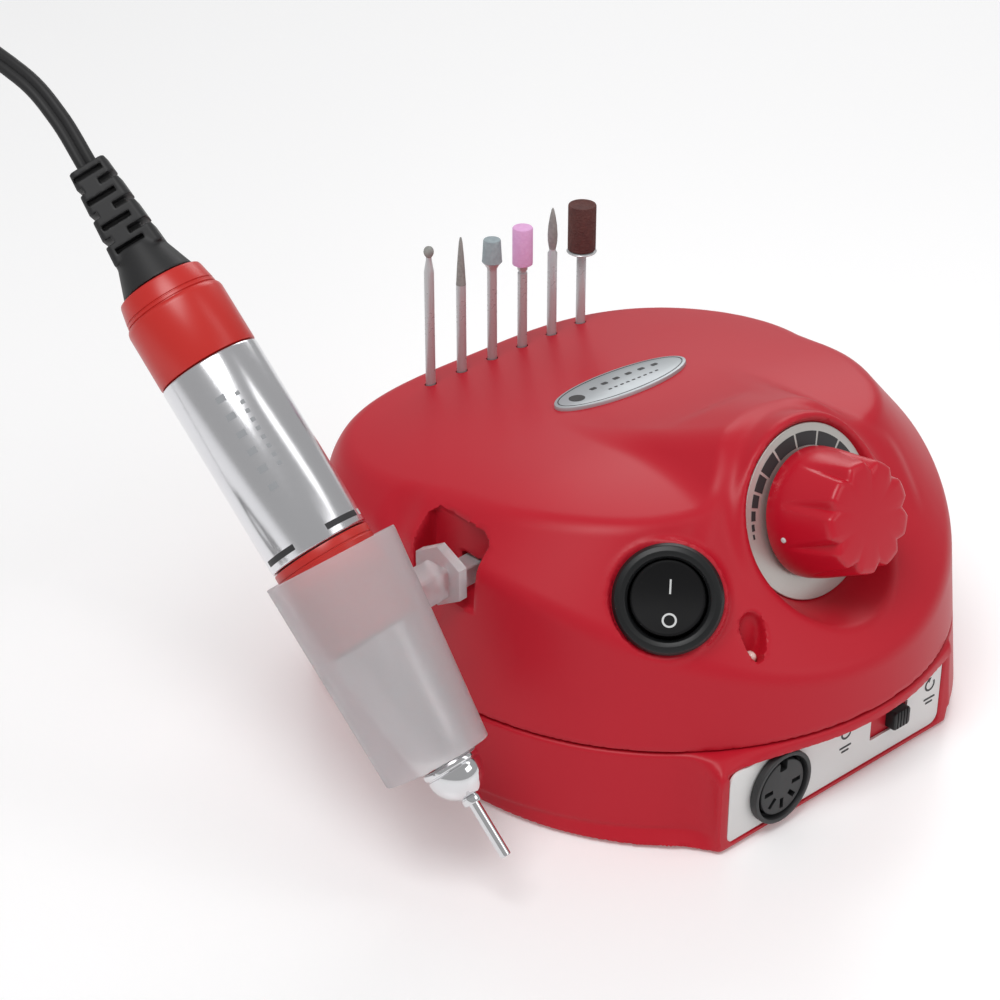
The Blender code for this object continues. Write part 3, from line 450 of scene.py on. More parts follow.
def case(x, y, z):
    side = np.abs(x)
    wall = plan(x, y, z)
    around = np.degrees(np.arctan2(side, -y))
    slope = 1.0 + 0.32 * np.exp(-(((around - 50) / 24.0) ** 2)) + 0.87 * np.clip((around - 100) / 50, 0, 1)
    t = np.clip((around - 85) / 40, 0, 1)
    zc = crease(x, y)
    to_right = x / np.sqrt(x * x + y * y + 1e-6)
    drop = 2.9 + 5.8 * np.clip(to_right, 0, 1) * -1 + 0.25 * np.clip(-to_right, 0, 1)
    belt_top = zc - slope * plan(x, y, zc) - drop * t * t * (3 - 2 * t)
    belt = (z - belt_top) / np.sqrt(1 + slope * slope)
    body = smax((z - crown(x, y)) * 0.98, belt, 1.8)
    ahead, up_, across = dial_space(x, y, z)
    rad = np.sqrt(across * across + up_ * up_)
    back = (z - (66.0 + 0.30 * (3.0 - y))) * 0.958
    flank = (z - 67.3) * 0.79 + 0.62 * (side - 23.0) + 0.045 * (y + 21.6)
    hood = smax(smax(smax(back, flank, 3.0), belt - 0.3, 2.5), ahead - 1.2, 2.5)
    hood = smax(hood, rad - 33.0, 3.0)
    rim = smax(smax(rad - 21.6, ahead - 1.2, 2.2), -(ahead + 22), 4)
    body = smin(smin(body, hood, 2.0), rim, 5.0)
    body = smax(body, wall, 1.5)
    return body


def rocker_space(x, y, z):
    dx, dy, dz = x - ROCKER.x, y - ROCKER.y, z - ROCKER.z
    s = dx * ROCKER_N.x + dy * ROCKER_N.y + dz * ROCKER_N.z
    return s, np.sqrt(np.maximum(dx * dx + dy * dy + dz * dz - s * s, 0))


def peg_space(x, y, z):
    dx, dy, dz = x - PEG_AT.x, y - PEG_AT.y, z - PEG_AT.z
    return dx * PEG.x + dy * PEG.y, dx * LAT.x + dy * LAT.y, dz


LED_LONG = Vector((-2.4, -4.7, -6.1)).normalized()
LED_MID = Vector((-28.66, -54.0, 43.5))
LED_SIDE = LED_N.cross(LED_LONG).normalized()


def details(body, x, y, z):
    """Cuts and features of the outside skin."""
    # side scoops behind the cradle pocket
    side = np.abs(x)
    scoop = (np.sqrt(((side - 76) / 15.0) ** 2 + ((y - 18) / 8.5) ** 2 + ((z - 66) / 17.0) ** 2) - 1) * 9.0
    body = smax(body, -scoop, 2.5)
    # seat of the rocker
    s, r = rocker_space(x, y, z)
    body = smin(body, smax(smax(r - 12.4, s, 0.6), -(s + 9), 1), 1.6)
    body = smax(body, -smax(r - 12.0, -s - 0.1, 0.5), 0.8)
    # dish of the dial
    ahead, up_, across = dial_space(x, y, z)
    rad = np.sqrt(across * across + up_ * up_)
    dish = smax(rad - (DIAL_R + 0.35 + np.clip(ahead, -5, 40) * 0.42), -(ahead + 1.35), 0.4)
    body = smax(body, -dish, 1.2)
    # teardrop well of the power light
    dx, dy, dz = x - LED_MID.x, y - LED_MID.y, z - LED_MID.z
    a = dx * LED_LONG.x + dy * LED_LONG.y + dz * LED_LONG.z
    b = dx * LED_SIDE.x + dy * LED_SIDE.y + dz * LED_SIDE.z
    c = dx * LED_N.x + dy * LED_N.y + dz * LED_N.z
    half = 2.9 - 0.12 * a
    well = smax(np.sqrt((a / 5.2) ** 2 + (b / half) ** 2) * 3.6 - 3.6, -(c + 1.0 + 0.42 * (a + 5.2)), 1.0)
    body = smax(body, -well, 0.5)
    # pocket for the cradle's plug: a sunk box with cut corners
    o, q, u = peg_space(x, y, z)
    qq = np.abs(q + 1.2) - 9.4
    cut = smax(smax(qq, np.abs(u - 1.6) - 7.8, 0.5), (np.abs(q + 1.2) * 0.6 + (u + 1.0) * 0.8) - 12.6, 0.6)
    cut = smax(cut, -(o + 8.2), 0.5)
    socket = smax(smax(np.abs(q) - 3.0, np.abs(u + 2.6) - 3.0, 0.4), smax(-(o + 19.0), o + 6.0, 0.4), 0.4)
    cut = np.minimum(cut, socket)
    return smax(body, -cut, 0.6)


def upper_skin(x, y, z):
    body = details(case(x, y, z), x, y, z)
    # small rounded edge at the parting line
    return smax(body, (PARTING + 0.15) - z, 0.5)


def base_skin(x, y, z):
    wall = plan(x, y, z)
    # skirt below a small step, drawn in at the sides and flared towards the panel
    full = 1.4 - 0.085 * np.clip(-y - 15.0, 0, 43) * np.clip(-x / 20.0, 0, 1)
    fall = np.clip((3.0 - z) / 3.9, 0, 1)
    wall = wall + (0.45 + (full - 0.45) * fall) / (1 + np.exp((z - 2.9) * 9.0)) + 0.5 * np.clip((z - 20.0) / 0.8, 0, 1) ** 2
    top = z - (PARTING - 0.15)
    bottom = BASE_Z - z
    body = smax(smax(wall, top, 0.9), bottom, 0.5)
    # the panel's block stands out at the front left and melts into the wall above it
    out = np.clip(-plan(x, y, z) / 1.0, -1, 0)
    ledge = (z - (PANEL_TOP + 0.9 + 0.30 * np.clip(y - FRAME_Y, 0, 8))) * 0.95
    side = PANEL_X0 - x + 0.10 * (y - FRAME_Y)
    panel = smax(smax(FRAME_Y - y, side, 0.9), smax(ledge, bottom, 0.8), 3.0)
    panel = smax(panel, smax(x - PANEL_X1, y + 46.0, 0.5), 0.5)
    body = smin(body, panel, 4.5)
    body = smax(smax(body, top, 0.9), bottom, 0.5)
    # the curved wall is cut flat below the lip, so the lip overhangs the panel
    front = smax(smax(-(x - (PANEL_X0 + 0.6)), y - FRAME_Y, 0.3), z - PANEL_TOP, 0.3)
    front = smax(front, x - 60.0, 0.3)
    body = smax(body, -front, 0.45)
    # sunk label with rounded corners
    cx, hx = (PANEL_X0 + 2.6 + PANEL_X1 - 1.0) / 2, (PANEL_X1 - 1.0 - PANEL_X0 - 2.6) / 2
    cz, hz = (0.35 + 22.0) / 2, (22.0 - 0.35) / 2
    dx, dz = np.abs(x - cx) - hx + 2.2, np.abs(z - cz) - hz + 2.2
    rect = np.sqrt(np.maximum(dx, 0) ** 2 + np.maximum(dz, 0) ** 2) + np.minimum(np.maximum(dx, dz), 0) - 2.2
    recess = smax(smax(rect, y - PANEL_Y, 0.25), z - PANEL_TOP, 0.3)
    body = smax(body, -recess, 0.3)
    # rear flat
    rear = smax(smax(REAR_Y - y, np.abs(x - 2.5) - 38.5, 0.6), np.abs(z - 10.6) - 7.2, 0.6)
    return smax(body, -rear, 0.5)


def surface_net(field, lo, hi, h, steps=4):
    """Closed mesh of field = 0, its points moved onto the exact surface."""
    axes = [np.arange(l, u + h, h) for l, u in zip(lo, hi)]
    gx, gy, gz = np.meshgrid(*axes, indexing="ij")
    v = field(gx, gy, gz)
    inside = v < 0
    corners = [(i, j, k) for i in (0, 1) for j in (0, 1) for k in (0, 1)]
    n = [s - 1 for s in v.shape]
    count = np.zeros(n, int)
    for i, j, k in corners:
        count += inside[i:i + n[0], j:j + n[1], k:k + n[2]]
    live = (count > 0) & (count < 8)
    cells = np.argwhere(live)
    index = np.full(n, -1)
    index[live] = np.arange(len(cells))
    total, hits = np.zeros((len(cells), 3)), np.zeros(len(cells))
    for a in range(3):
        for c in corners:
            if c[a]:
                continue
            d = list(c); d[a] = 1
            i0 = cells + np.array(c); i1 = cells + np.array(d)
            v0, v1 = v[tuple(i0.T)], v[tuple(i1.T)]
            cross = (v0 < 0) != (v1 < 0)
            t = np.where(cross, v0 / np.where(cross, v0 - v1, 1), 0)
            p = i0 + (i1 - i0) * t[:, None]
            total[cross] += p[cross]; hits[cross] += 1
    pts = total / hits[:, None] * h + np.array(lo)
    quads = []
    for a in range(3):
        b, c = (a + 1) % 3, (a + 2) % 3
        s = [slice(None)] * 3
        s0, s1 = list(s), list(s)
        s0[a], s1[a] = slice(0, -1), slice(1, None)
        change = inside[tuple(s0)] != inside[tuple(s1)]
        where = np.argwhere(change)
        where = where[(where[:, b] > 0) & (where[:, c] > 0) & (where[:, b] < v.shape[b] - 1) & (where[:, c] < v.shape[c] - 1)]
        eb, ec = np.zeros(3, int), np.zeros(3, int)
        eb[b], ec[c] = 1, 1
        q = np.stack([index[tuple((where - eb - ec).T)], index[tuple((where - ec).T)], index[tuple(where.T)], index[tuple((where - eb).T)]], 1)
        flip = ~inside[tuple(where.T)]
        q[flip] = q[flip][:, ::-1]
        quads.append(q)
    quads = np.concatenate(quads)

    def slope(p, e=0.04):
        g = []
        for a in range(3):
            d = np.zeros(3); d[a] = e
            g.append((field(*(p + d).T) - field(*(p - d).T)) / (2 * e))
        return np.stack(g, 1)

    for _ in range(steps):
        g = slope(pts)
        f = field(*pts.T)
        move = -(f / np.maximum((g * g).sum(1), 0.05))[:, None] * g
        size = np.linalg.norm(move, axis=1, keepdims=True)
        pts = pts + move * np.minimum(1, 0.35 * h / np.maximum(size, 1e-9))
    return pts, quads


def net_object(name, field, lo, hi, h, mat, body, replaces, relax=1):
    pts, quads = surface_net(field, lo, hi, h)
    me = bpy.data.meshes.new(name)
    me.vertices.add(len(pts))
    me.vertices.foreach_set("co", ((pts + np.array(SHIFT)) / 1000).astype(np.float32).ravel())
    me.loops.add(len(quads) * 4)
    me.loops.foreach_set("vertex_index", quads.astype(np.int32).ravel())
    me.polygons.add(len(quads))
    me.polygons.foreach_set("loop_start", np.arange(0, len(quads) * 4, 4, dtype=np.int32))
    me.update(calc_edges=True)
    me.validate()
    ob = bpy.data.objects.new(name, me)
    scene.collection.objects.link(ob)
    me.materials.append(M[mat])
    me.shade_smooth()
    me.set_sharp_from_angle(angle=math.radians(50))
    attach(ob, body)
    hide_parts(*replaces)
    return ob


def drill(ob, cutters):
    """Cuts closed round or boxy tools out of a mesh and applies it."""
    bm = bmesh.new()
    for where, profile, seg in cutters:
        part = lathe_bm(profile, seg=seg)
        bmesh.ops.recalc_face_normals(part, faces=part.faces)
        bmesh.ops.scale(part, vec=(0.001,) * 3, verts=part.verts)
        bmesh.ops.transform(part, matrix=where, verts=part.verts)
        tmp = bpy.data.meshes.new("tool")
        part.to_mesh(tmp); part.free()
        bm.from_mesh(tmp)
        bpy.data.meshes.remove(tmp)
    me = bpy.data.meshes.new("tools")
    bm.to_mesh(me); bm.free()
    tool = bpy.data.objects.new("tools", me)
    scene.collection.objects.link(tool)
    mod = ob.modifiers.new("holes", "BOOLEAN")
    mod.operation, mod.solver, mod.object = "DIFFERENCE", "EXACT", tool
    bpy.context.view_layer.update()
    graph = bpy.context.evaluated_depsgraph_get()
    done = bpy.data.meshes.new_from_object(ob.evaluated_get(graph))
    ob.modifiers.clear()
    old = ob.data
    ob.data = done
    bpy.data.meshes.remove(old)
    bpy.data.objects.remove(tool, do_unlink=True)
    ob.data.shade_smooth()
    ob.data.set_sharp_from_angle(angle=math.radians(50))


STEP = 0.8


def upper_solid(x, y, z):
    skin = upper_skin(x, y, z)
    hollow = case(x, y, z) + WALL + 0.4
    ahead, up_, across = dial_space(x, y, z)
    boss = np.maximum(np.sqrt(across * across + up_ * up_) - 25.0, -(ahead + 4.4))
    o, q, u = peg_space(x, y, z)
    pocket = np.maximum(np.maximum(np.abs(q) - 13.0, np.abs(u) - 13.0), -(o + 17.0))
    s, r = rocker_space(x, y, z)
    seat = np.maximum(r - 14.0, -(s + 4.0))
    rack = np.maximum(np.maximum(np.abs(x - 1.4) - 30.0, 51.0 - y), 46.0 - z)
    led = np.sqrt((x - LED_AT.x) ** 2 + (y - LED_AT.y - 2) ** 2 + (z - LED_AT.z) ** 2) - 7.5
    for keep in (boss, pocket, seat, rack, led):
        hollow = np.maximum(hollow, -keep)
    return smax(skin, -hollow, 0.3)


def base_solid(x, y, z):
    hollow = np.maximum(plan(x, y, z) + WALL + 0.2, BASE_Z + WALL - z)
    hollow = np.maximum(hollow, np.maximum(np.maximum(PANEL_X0 - 3 - x, x - PANEL_X1 - 3), y - (PANEL_Y + WALL)) * -1 if False else hollow)
    keep = np.maximum(np.maximum(np.abs(x - (PANEL_X0 + PANEL_X1) / 2) - 39.0, y - (PANEL_Y + WALL)), -200 - y)
    hollow = np.maximum(hollow, -keep)
    hollow = np.maximum(hollow, -np.maximum(np.abs(x - 2.5) - 41.5, REAR_Y - WALL - y))
    return smax(base_skin(x, y, z), -hollow, 0.3)


upper = net_object("upper_shell_skin", upper_solid, (-73.5, -70.0, 19.0), (73.5, 72.0, 80.5), STEP, "red", "unit", ["upper_shell"])
base = net_object("base_shell_skin", base_solid, (-75.5, -71.5, -2.6), (75.5, 74.0, 22.6), 0.6, "red", "unit", ["base_shell"])
HOLE = lambda r, a, c: [(0, a), (r, a), (r, c), (0, c)]
tools = [(frame_of((BIT_X0 + BIT_PITCH * i, BIT_Y, 0), (0, 0, 1)), HOLE(SHANK_R + 0.3, BIT_FOOT - 0.2, 66.0), 20) for i in range(6)]
tools += [(rocker_frame, HOLE(10.3, -24, 8), 48), (dial_frame, HOLE(4.2, -12, 4), 32), (led_frame, HOLE(1.65, -12, 8), 20)]
drill(upper, tools)
tools = [(din_frame, HOLE(7.8, -14, 6), 48)]
tools += [(frame_of((REAR[k], REAR_Y, REAR_Z), (0, 1, 0)), HOLE(r, -8, 5), 32) for k, r in (("foot_jack", 4.8), ("fuse", 5.2), ("inlet", 4.5))]
tools += [(frame_of((x, y, 0), (0, 0, 1)), HOLE(5.4, -4, 0.2), 32) for x, y in FEET]
tools += [(frame_of((x, y, 0), (0, 0, 1)), HOLE(3.1, -4, 0.6), 24) for x, y in POSTS]
drill(base, tools)

# ------------------------------------------------------------------ front panel
PANEL = frame_of((0, PANEL_Y, 0), (0, -1, 0), roll=(1, 0, 0))     # local X right, Y up, Z towards the front
lx0, lx1, lz0, lz1 = PANEL_X0 + 2.75, PANEL_X1 - 1.1, 0.5, PANEL_TOP - 0.2


def corner(cx, cy, r, a0, n=8):
    return [(cx + r * math.cos(math.radians(a0 + 90 * k / n)), cy + r * math.sin(math.radians(a0 + 90 * k / n))) for k in range(n + 1)]


def bool_link(name, bm, tools, where, mat, body, replaces=(), mode="DIFFERENCE", sharp=35, mats=()):
    """A piece with tools (bmesh in the same local space) cut from it or joined to it."""
    ob = link(name, bm, where, mat, body, (), sharp, mats=mats)
    made = []
    for k, t in enumerate(tools):
        how = mode
        if isinstance(t, tuple):
            t, how = t
        bmesh.ops.recalc_face_normals(t, faces=t.faces)
        bmesh.ops.scale(t, vec=(0.001,) * 3, verts=t.verts)
        me = bpy.data.meshes.new("tool")
        t.to_mesh(me); t.free()
        me.materials.append(M[mat])
        o = bpy.data.objects.new("tool", me)
        scene.collection.objects.link(o)
        o.matrix_world = ob.matrix_world
        md = ob.modifiers.new("b", "BOOLEAN")
        md.operation, md.solver, md.object = how, "EXACT", o
        made.append(o)
    bpy.context.view_layer.update()
    done = bpy.data.meshes.new_from_object(ob.evaluated_get(bpy.context.evaluated_depsgraph_get()))
    ob.modifiers.clear()
    old = ob.data
    ob.data = done
    bpy.data.meshes.remove(old)
    for o in made:
        bpy.data.objects.remove(o, do_unlink=True)
    ob.data.shade_smooth()
    ob.data.set_sharp_from_angle(angle=math.radians(sharp))
    if replaces:
        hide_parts(*replaces)
    return ob


label_outline = corner(lx1 - 0.8, lz1 - 0.8, 0.8, 0) + corner(lx0 + 2.6, lz1 - 2.6, 2.6, 90) + corner(lx0 + 0.8, lz0 + 0.8, 0.8, 180) + corner(lx1 - 2.6, lz0 + 2.6, 2.6, 270)
din_hole = lathe_bm([(0, -4), (7.9, -4), (7.9, 4), (0, 4)], seg=64, shift=(DIN_AT.x, DIN_AT.z))
slot_hole = prism_bm(rounded(SLOT[1] - SLOT[0] + 0.4, SLOT[3] - SLOT[2] + 0.4, 0.5, cx=(SLOT[0] + SLOT[1]) / 2, cy=(SLOT[2] + SLOT[3]) / 2), -3, 4)
bool_link("front_label", prism_bm(label_outline, 0.15, 0.75, bevel=0.12), [din_hole, slot_hole], PANEL, "label", "unit", ["front_label_plate"])


def flat_pieces(name, polys, where, mat, body, z0, z1, bevel=0.0):
    bm = bmesh.new()
    for p in polys:
        prism_bm(p, z0, z1, bm=bm, bevel=bevel)
    return link(name, bm, where, mat, body, smooth=False)


def turn_arrow(cx, cy, r, w, a0, a1, head, n=14):
    """Bent arrow: an arc band and its head."""
    band = [(cx + (r + w / 2) * math.cos(math.radians(a0 + (a1 - a0) * k / n)), cy + (r + w / 2) * math.sin(math.radians(a0 + (a1 - a0) * k / n))) for k in range(n + 1)]
    band += [(cx + (r - w / 2) * math.cos(math.radians(a0 + (a1 - a0) * k / n)), cy + (r - w / 2) * math.sin(math.radians(a0 + (a1 - a0) * k / n))) for k in range(n, -1, -1)]
    s = 1 if a1 > a0 else -1
    e = math.radians(a1)
    ex, ey = cx + r * math.cos(e), cy + r * math.sin(e)
    tx, ty = -math.sin(e) * s, math.cos(e) * s
    tri = [(ex + math.cos(e) * head * 0.8, ey + math.sin(e) * head * 0.8), (ex - math.cos(e) * head * 0.8, ey - math.sin(e) * head * 0.8), (ex + tx * head * 1.3, ey + ty * head * 1.3)]
    return [band, tri]


arrows = turn_arrow(-5.0, 12.0, 1.45, 0.5, 150, 420, 0.95) + turn_arrow(23.0, 12.0, 1.45, 0.5, 30, -240, 0.95)
arrows += [rounded(3.8, 0.5, 0.2, 3, cx=-5.0, cy=8.3), rounded(2.4, 0.5, 0.2, 3, cx=-5.0, cy=7.2)]
arrows += [rounded(3.8, 0.5, 0.2, 3, cx=23.2, cy=8.3), rounded(2.4, 0.5, 0.2, 3, cx=23.2, cy=7.2)]
flat_pieces("label_direction_marks", arrows, PANEL, "ink", "unit", 0.6, 0.81)

# round socket of the handpiece lead: barrel, face with a groove, key notch, five contact holes
barrel = lathe_bm(soften([(0, -10), (7.4, -10), (7.4, 0.95), (8.65, 0.95), (8.65, 2.8), (7.6, 2.8), (7.5, 1.0), (7.1, 0.6), (7.1, -3), (6.3, -3), (6.45, 0.6), (6.6, 1.0), (6.6, 2.35), (0, 2.35)], 0.3), seg=96)
holes = []
for k in range(5):
    a = math.radians(180 + 45 * k)
    u, v = math.cos(a), math.sin(a)
    slit = [(4.2 * u + p * u - q * v, 4.2 * v + p * v + q * u) for p, q in ((-1.3, -0.55), (1.3, -0.55), (1.3, 0.55), (-1.3, 0.55))]
    holes.append(prism_bm(slit, -2, 6))
holes.append(prism_bm(rounded(2.2, 3.4, 0.4, cy=5.9), 0.2, 6))
bool_link("din_socket_body", barrel, holes, din_frame, "socket", "unit", ["din_socket"], sharp=40)
bm = bmesh.new()
for k in range(5):
    a = math.radians(180 + 45 * k)
    lathe_bm([(0, -2.6), (0.45, -2.6), (0.45, -0.6), (0.3, -0.3), (0, -0.3)], seg=14, bm=bm, shift=(4.2 * math.cos(a), 4.2 * math.sin(a)))
link("din_socket_contacts", bm, din_frame, "chrome", "unit")

# direction slider: block with finger ridges, in a slot with a red floor
sl = frame_of(((9.2 + 14.7) / 2, PANEL_Y, (SLOT[2] + SLOT[3]) / 2), (0, -1, 0), roll=(1, 0, 0))
bm = prism_bm(rounded(5.5, 4.7, 0.9), -2.6, 2.6, bevel=0.45)
tools = [prism_bm([(x - 0.16, -3), (x + 0.16, -3), (x + 0.16, 3), (x - 0.16, 3)], 2.35, 6) for x in (-1.5, -0.5, 0.5, 1.5)]
bool_link("direction_slider_knob", bm, tools, sl, "satin_black", "direction_switch", ["direction_slider"])

# ------------------------------------------------------------------ rocker switch
lathe("rocker_bezel_ring", soften([(0, -17), (9.8, -17), (9.8, 0.05), (11.6, 0.05), (11.6, 0.9), (11.0, 2.0), (9.9, 2.35), (8.9, 2.1), (8.35, 1.2), (8.3, -7.5), (0, -7.5)], 0.4), rocker_frame, "satin_black", "unit", seg=128, replaces=["rocker_bezel"], sharp=50)
rocker_tilt = rocker_frame @ Matrix.Rotation(math.radians(-7.0), 4, "X")


def rocker_bm():
    bm = bmesh.new()
    seg, R = 96, 7.85
    radii = [0.0, 1.5, 3.0, 4.4, 5.6, 6.5, 7.1, 7.45]

    def face(x, y):
        return 1.5 + 0.024 * y * y
    rows = []
    for r in radii:
        if r == 0:
            rows.append([bm.verts.new((0, 0, face(0, 0)))]); continue
        rows.append([bm.verts.new((r * math.cos(2 * math.pi * i / seg), r * math.sin(2 * math.pi * i / seg), face(0, r * math.sin(2 * math.pi * i / seg)))) for i in range(seg)])
    for r, dz in ((7.68, -0.14), (R, -0.5)):
        rows.append([bm.verts.new((r * math.cos(2 * math.pi * i / seg), r * math.sin(2 * math.pi * i / seg), face(0, r * math.sin(2 * math.pi * i / seg)) + dz)) for i in range(seg)])
    for r, z in ((7.75, 0.4), (7.3, -1.6), (4.0, -4.2)):
        rows.append([bm.verts.new((r * math.cos(2 * math.pi * i / seg), r * math.sin(2 * math.pi * i / seg), z)) for i in range(seg)])
    rows.append([bm.verts.new((0, 0, -4.2))])
    for a, b in zip(rows, rows[1:]):
        for i in range(seg):
            j = (i + 1) % seg
            if len(a) == 1:
                bm.faces.new((a[0], b[i], b[j]))
            elif len(b) == 1:
                bm.faces.new((a[i], b[0], a[j]))
            else:
                bm.faces.new((a[i], b[i], b[j], a[j]))
    return bm


link("rocker_cap", rocker_bm(), rocker_tilt, "rocker", "rocker", ["rocker_button"], sharp=50)
# "on" stroke and "off" ring, standing 0.06 mm out of the cap's face


def on_face(bm, pts2, lift=0.06, deep=0.5):
    top = [bm.verts.new((x, y, 1.5 + 0.024 * y * y + lift)) for x, y in pts2]
    low = [bm.verts.new((x, y, 1.5 + 0.024 * y * y - deep)) for x, y in pts2]
    return top, low


bm = bmesh.new()
stroke = [(0.4 - 0.19, y) for y in (3.9, 3.1, 2.3, 1.5, 0.9)] + [(0.4 + 0.19, y) for y in (0.9, 1.5, 2.3, 3.1, 3.9)]
top, low = on_face(bm, stroke)
for k in range(4):
    a, b, c, d = k, k + 1, 8 - k, 9 - k
    bm.faces.new((top[a], top[b], top[c], top[d])); bm.faces.new((low[d], low[c], low[b], low[a]))
for k in range(10):
    j = (k + 1) % 10
    bm.faces.new((top[k], top[j], low[j], low[k]))
seg = 40
outer = [(0.5 + 1.55 * math.cos(2 * math.pi * i / seg), -4.6 + 1.55 * math.sin(2 * math.pi * i / seg)) for i in range(seg)]
inner = [(0.5 + 1.14 * math.cos(2 * math.pi * i / seg), -4.6 + 1.14 * math.sin(2 * math.pi * i / seg)) for i in range(seg)]
ot, ol = on_face(bm, outer)
it, il = on_face(bm, inner)
for i in range(seg):
    j = (i + 1) % seg
    bm.faces.new((ot[i], ot[j], it[j], it[i])); bm.faces.new((ol[j], ol[i], il[i], il[j]))
    bm.faces.new((ot[j], ot[i], ol[i], ol[j])); bm.faces.new((it[i], it[j], il[j], il[i]))
link("rocker_marks", bm, rocker_tilt, "white_ink", "rocker", smooth=False)

# ------------------------------------------------------------------ speed dial
lathe("dial_disc", soften([(4.3, -1.2), (DIAL_R, -1.2), (DIAL_R, -0.1), (4.3, -0.1)], 0.25, True), dial_frame, "dial", "unit", ring=True, seg=128, replaces=["dial_plate"], sharp=60)


def ring_block(r0, r1, a0, a1):
    n = max(2, int(abs(a1 - a0) / 2))
    f = [(r1 * math.cos(math.radians(a0 + (a1 - a0) * k / n)), r1 * math.sin(math.radians(a0 + (a1 - a0) * k / n))) for k in range(n + 1)]
    return f + [(r0 * math.cos(math.radians(a0 + (a1 - a0) * k / n)), r0 * math.sin(math.radians(a0 + (a1 - a0) * k / n))) for k in range(n, -1, -1)]


blocks, a = [], 181.0
for k in range(13):
    span = (3.6, 5.0, 7.2, 9.6, 12.8, 17.0, 21.0, 21.0, 21.0, 21.0, 21.0, 21.0, 21.0)[k]
    inner_r = (16.9, 16.6, 16.2, 15.6, 15.0, 14.5, 14.35, 14.3, 14.3, 14.3, 14.3, 14.3, 14.3)[k]
    blocks.append(ring_block(inner_r, 17.35, a, a - span))
    a -= span + 2.3
    if a < -40:
        break
flat_pieces("dial_ticks", blocks, dial_frame, "ink", "unit", -0.3, 0.0)


def knob_bm():
    bm = bmesh.new()
    seg = 216
    prof = [(3.4, 14.0), (3.4, 0.8), (13.9, 0.8), (14.2, 1.1), (14.25, 2.2), (14.1, 4.0), (13.85, 6.0), (13.5, 8.0), (13.15, 10.0), (12.8, 12.0), (12.5, 14.0), (12.25, 15.6), (12.1, 16.6), (11.85, 17.2), (11.3, 17.6), (10.4, 17.75), (8.5, 17.85), (5.0, 17.95)]

    def cut(r, h, t):
        if h < 6.0 or r < 6:
            return r
        k = ((math.degrees(t) - 113.0 + 20) % 40) - 20
        grow = (min(h, 17.6) - 6.0) / 11.6
        half = 2.0 + 8.5 * grow
        depth = 1.75 * grow
        s = abs(k) / half
        if s >= 1:
            return r
        return r - depth * (1 - s) * min(1, (r - 6) / 4)
    rows = [[bm.verts.new((0, 0, 14.0))]]
    for r, h in prof:
        rows.append([bm.verts.new((cut(r, h, 2 * math.pi * i / seg) * math.cos(2 * math.pi * i / seg), cut(r, h, 2 * math.pi * i / seg) * math.sin(2 * math.pi * i / seg), h)) for i in range(seg)])
    rows.append([bm.verts.new((0, 0, 18.0))])
    for a, b in zip(rows, rows[1:]):
        for i in range(seg):
            j = (i + 1) % seg
            if len(a) == 1:
                bm.faces.new((a[0], b[i], b[j]))
            elif len(b) == 1:
                bm.faces.new((a[i], b[0], a[j]))
            else:
                bm.faces.new((a[i], b[i], b[j], a[j]))
    return bm


link("speed_knob_grip", knob_bm(), dial_frame, "knob_red", "speed_dial", ["speed_knob"], sharp=38)
kp = math.radians(184.7)
px_, py_ = 14.0 * math.cos(kp), 14.0 * math.sin(kp)
dot = frame_of((0, 0, 0), (0, 0, 1))
tip = dial_frame @ Vector((px_ / 1000, py_ / 1000, 5.2 / 1000))
outw = (dial_frame.to_3x3() @ Vector((math.cos(kp), math.sin(kp), 0.12))).normalized()
dm = frame_of((0, 0, 0), outw)
dm.translation = tip
lathe("speed_knob_pointer", soften([(0, -0.6), (0.62, -0.6), (0.62, 0.1), (0.4, 0.28), (0, 0.32)], 0.1), dm, "white_ink", "speed_dial", seg=24)

lathe("power_led_lens", [(0, -9), (1.35, -9), (1.35, -2.6), (1.1, -2.3), (0.95, -1.9), (0.7, -1.55), (0.35, -1.35), (0, -1.3)], led_frame, "led", "unit", seg=32, replaces=["power_led"])

# ------------------------------------------------------------------ oval badge with plain marks
badge_n = Vector((-0.014, 0.142, 1)).normalized()
badge_frame = frame_of((1.2, 17.4, 64.5), badge_n, roll=(1, -0.06, 0))
ell = [(19.0 * math.cos(2 * math.pi * i / 128), 7.0 * math.sin(2 * math.pi * i / 128)) for i in range(128)]
prism("name_badge_plate", ell, 0.0, 0.95, badge_frame, "badge", "unit", bevel=0.3, replaces=["name_badge"], sharp=30)


def ell_band(a, b, w, n=96):
    """Oval line as one ring."""
    bm = bmesh.new()
    rows = []
    for s, z in ((0, 0.9), (w, 0.9), (w, 0.99), (0, 0.99)):
        rows.append([bm.verts.new(((a - s) * math.cos(2 * math.pi * i / n), (b - s) * math.sin(2 * math.pi * i / n), z)) for i in range(n)])
    for k in range(4):
        p, q = rows[k], rows[(k + 1) % 4]
        for i in range(n):
            j = (i + 1) % n
            bm.faces.new((p[i], p[j], q[j], q[i]))
    return bm


link("name_badge_border", ell_band(18.1, 6.3, 0.28), badge_frame, "ink", "unit", smooth=False)
marks = []
for k in range(6):
    x = -7.0 + 3.7 * k
    y = 1.3 + 0.9 * math.sin(math.pi * (k + 0.5) / 6)
    marks.append(rounded(1.7, 1.15, 0.3, 3, cx=x, cy=y))
for k in range(9):
    marks.append(rounded(0.95, 0.5, 0.2, 2, cx=-4.6 + 1.75 * k, cy=-1.7))
marks.append([(-13.0 + 1.9 * math.cos(2 * math.pi * i / 24), 0.1 + 1.9 * math.sin(2 * math.pi * i / 24)) for i in range(24)])
flat_pieces("name_badge_marks", marks, badge_frame, "ink", "unit", 0.85, 1.0)

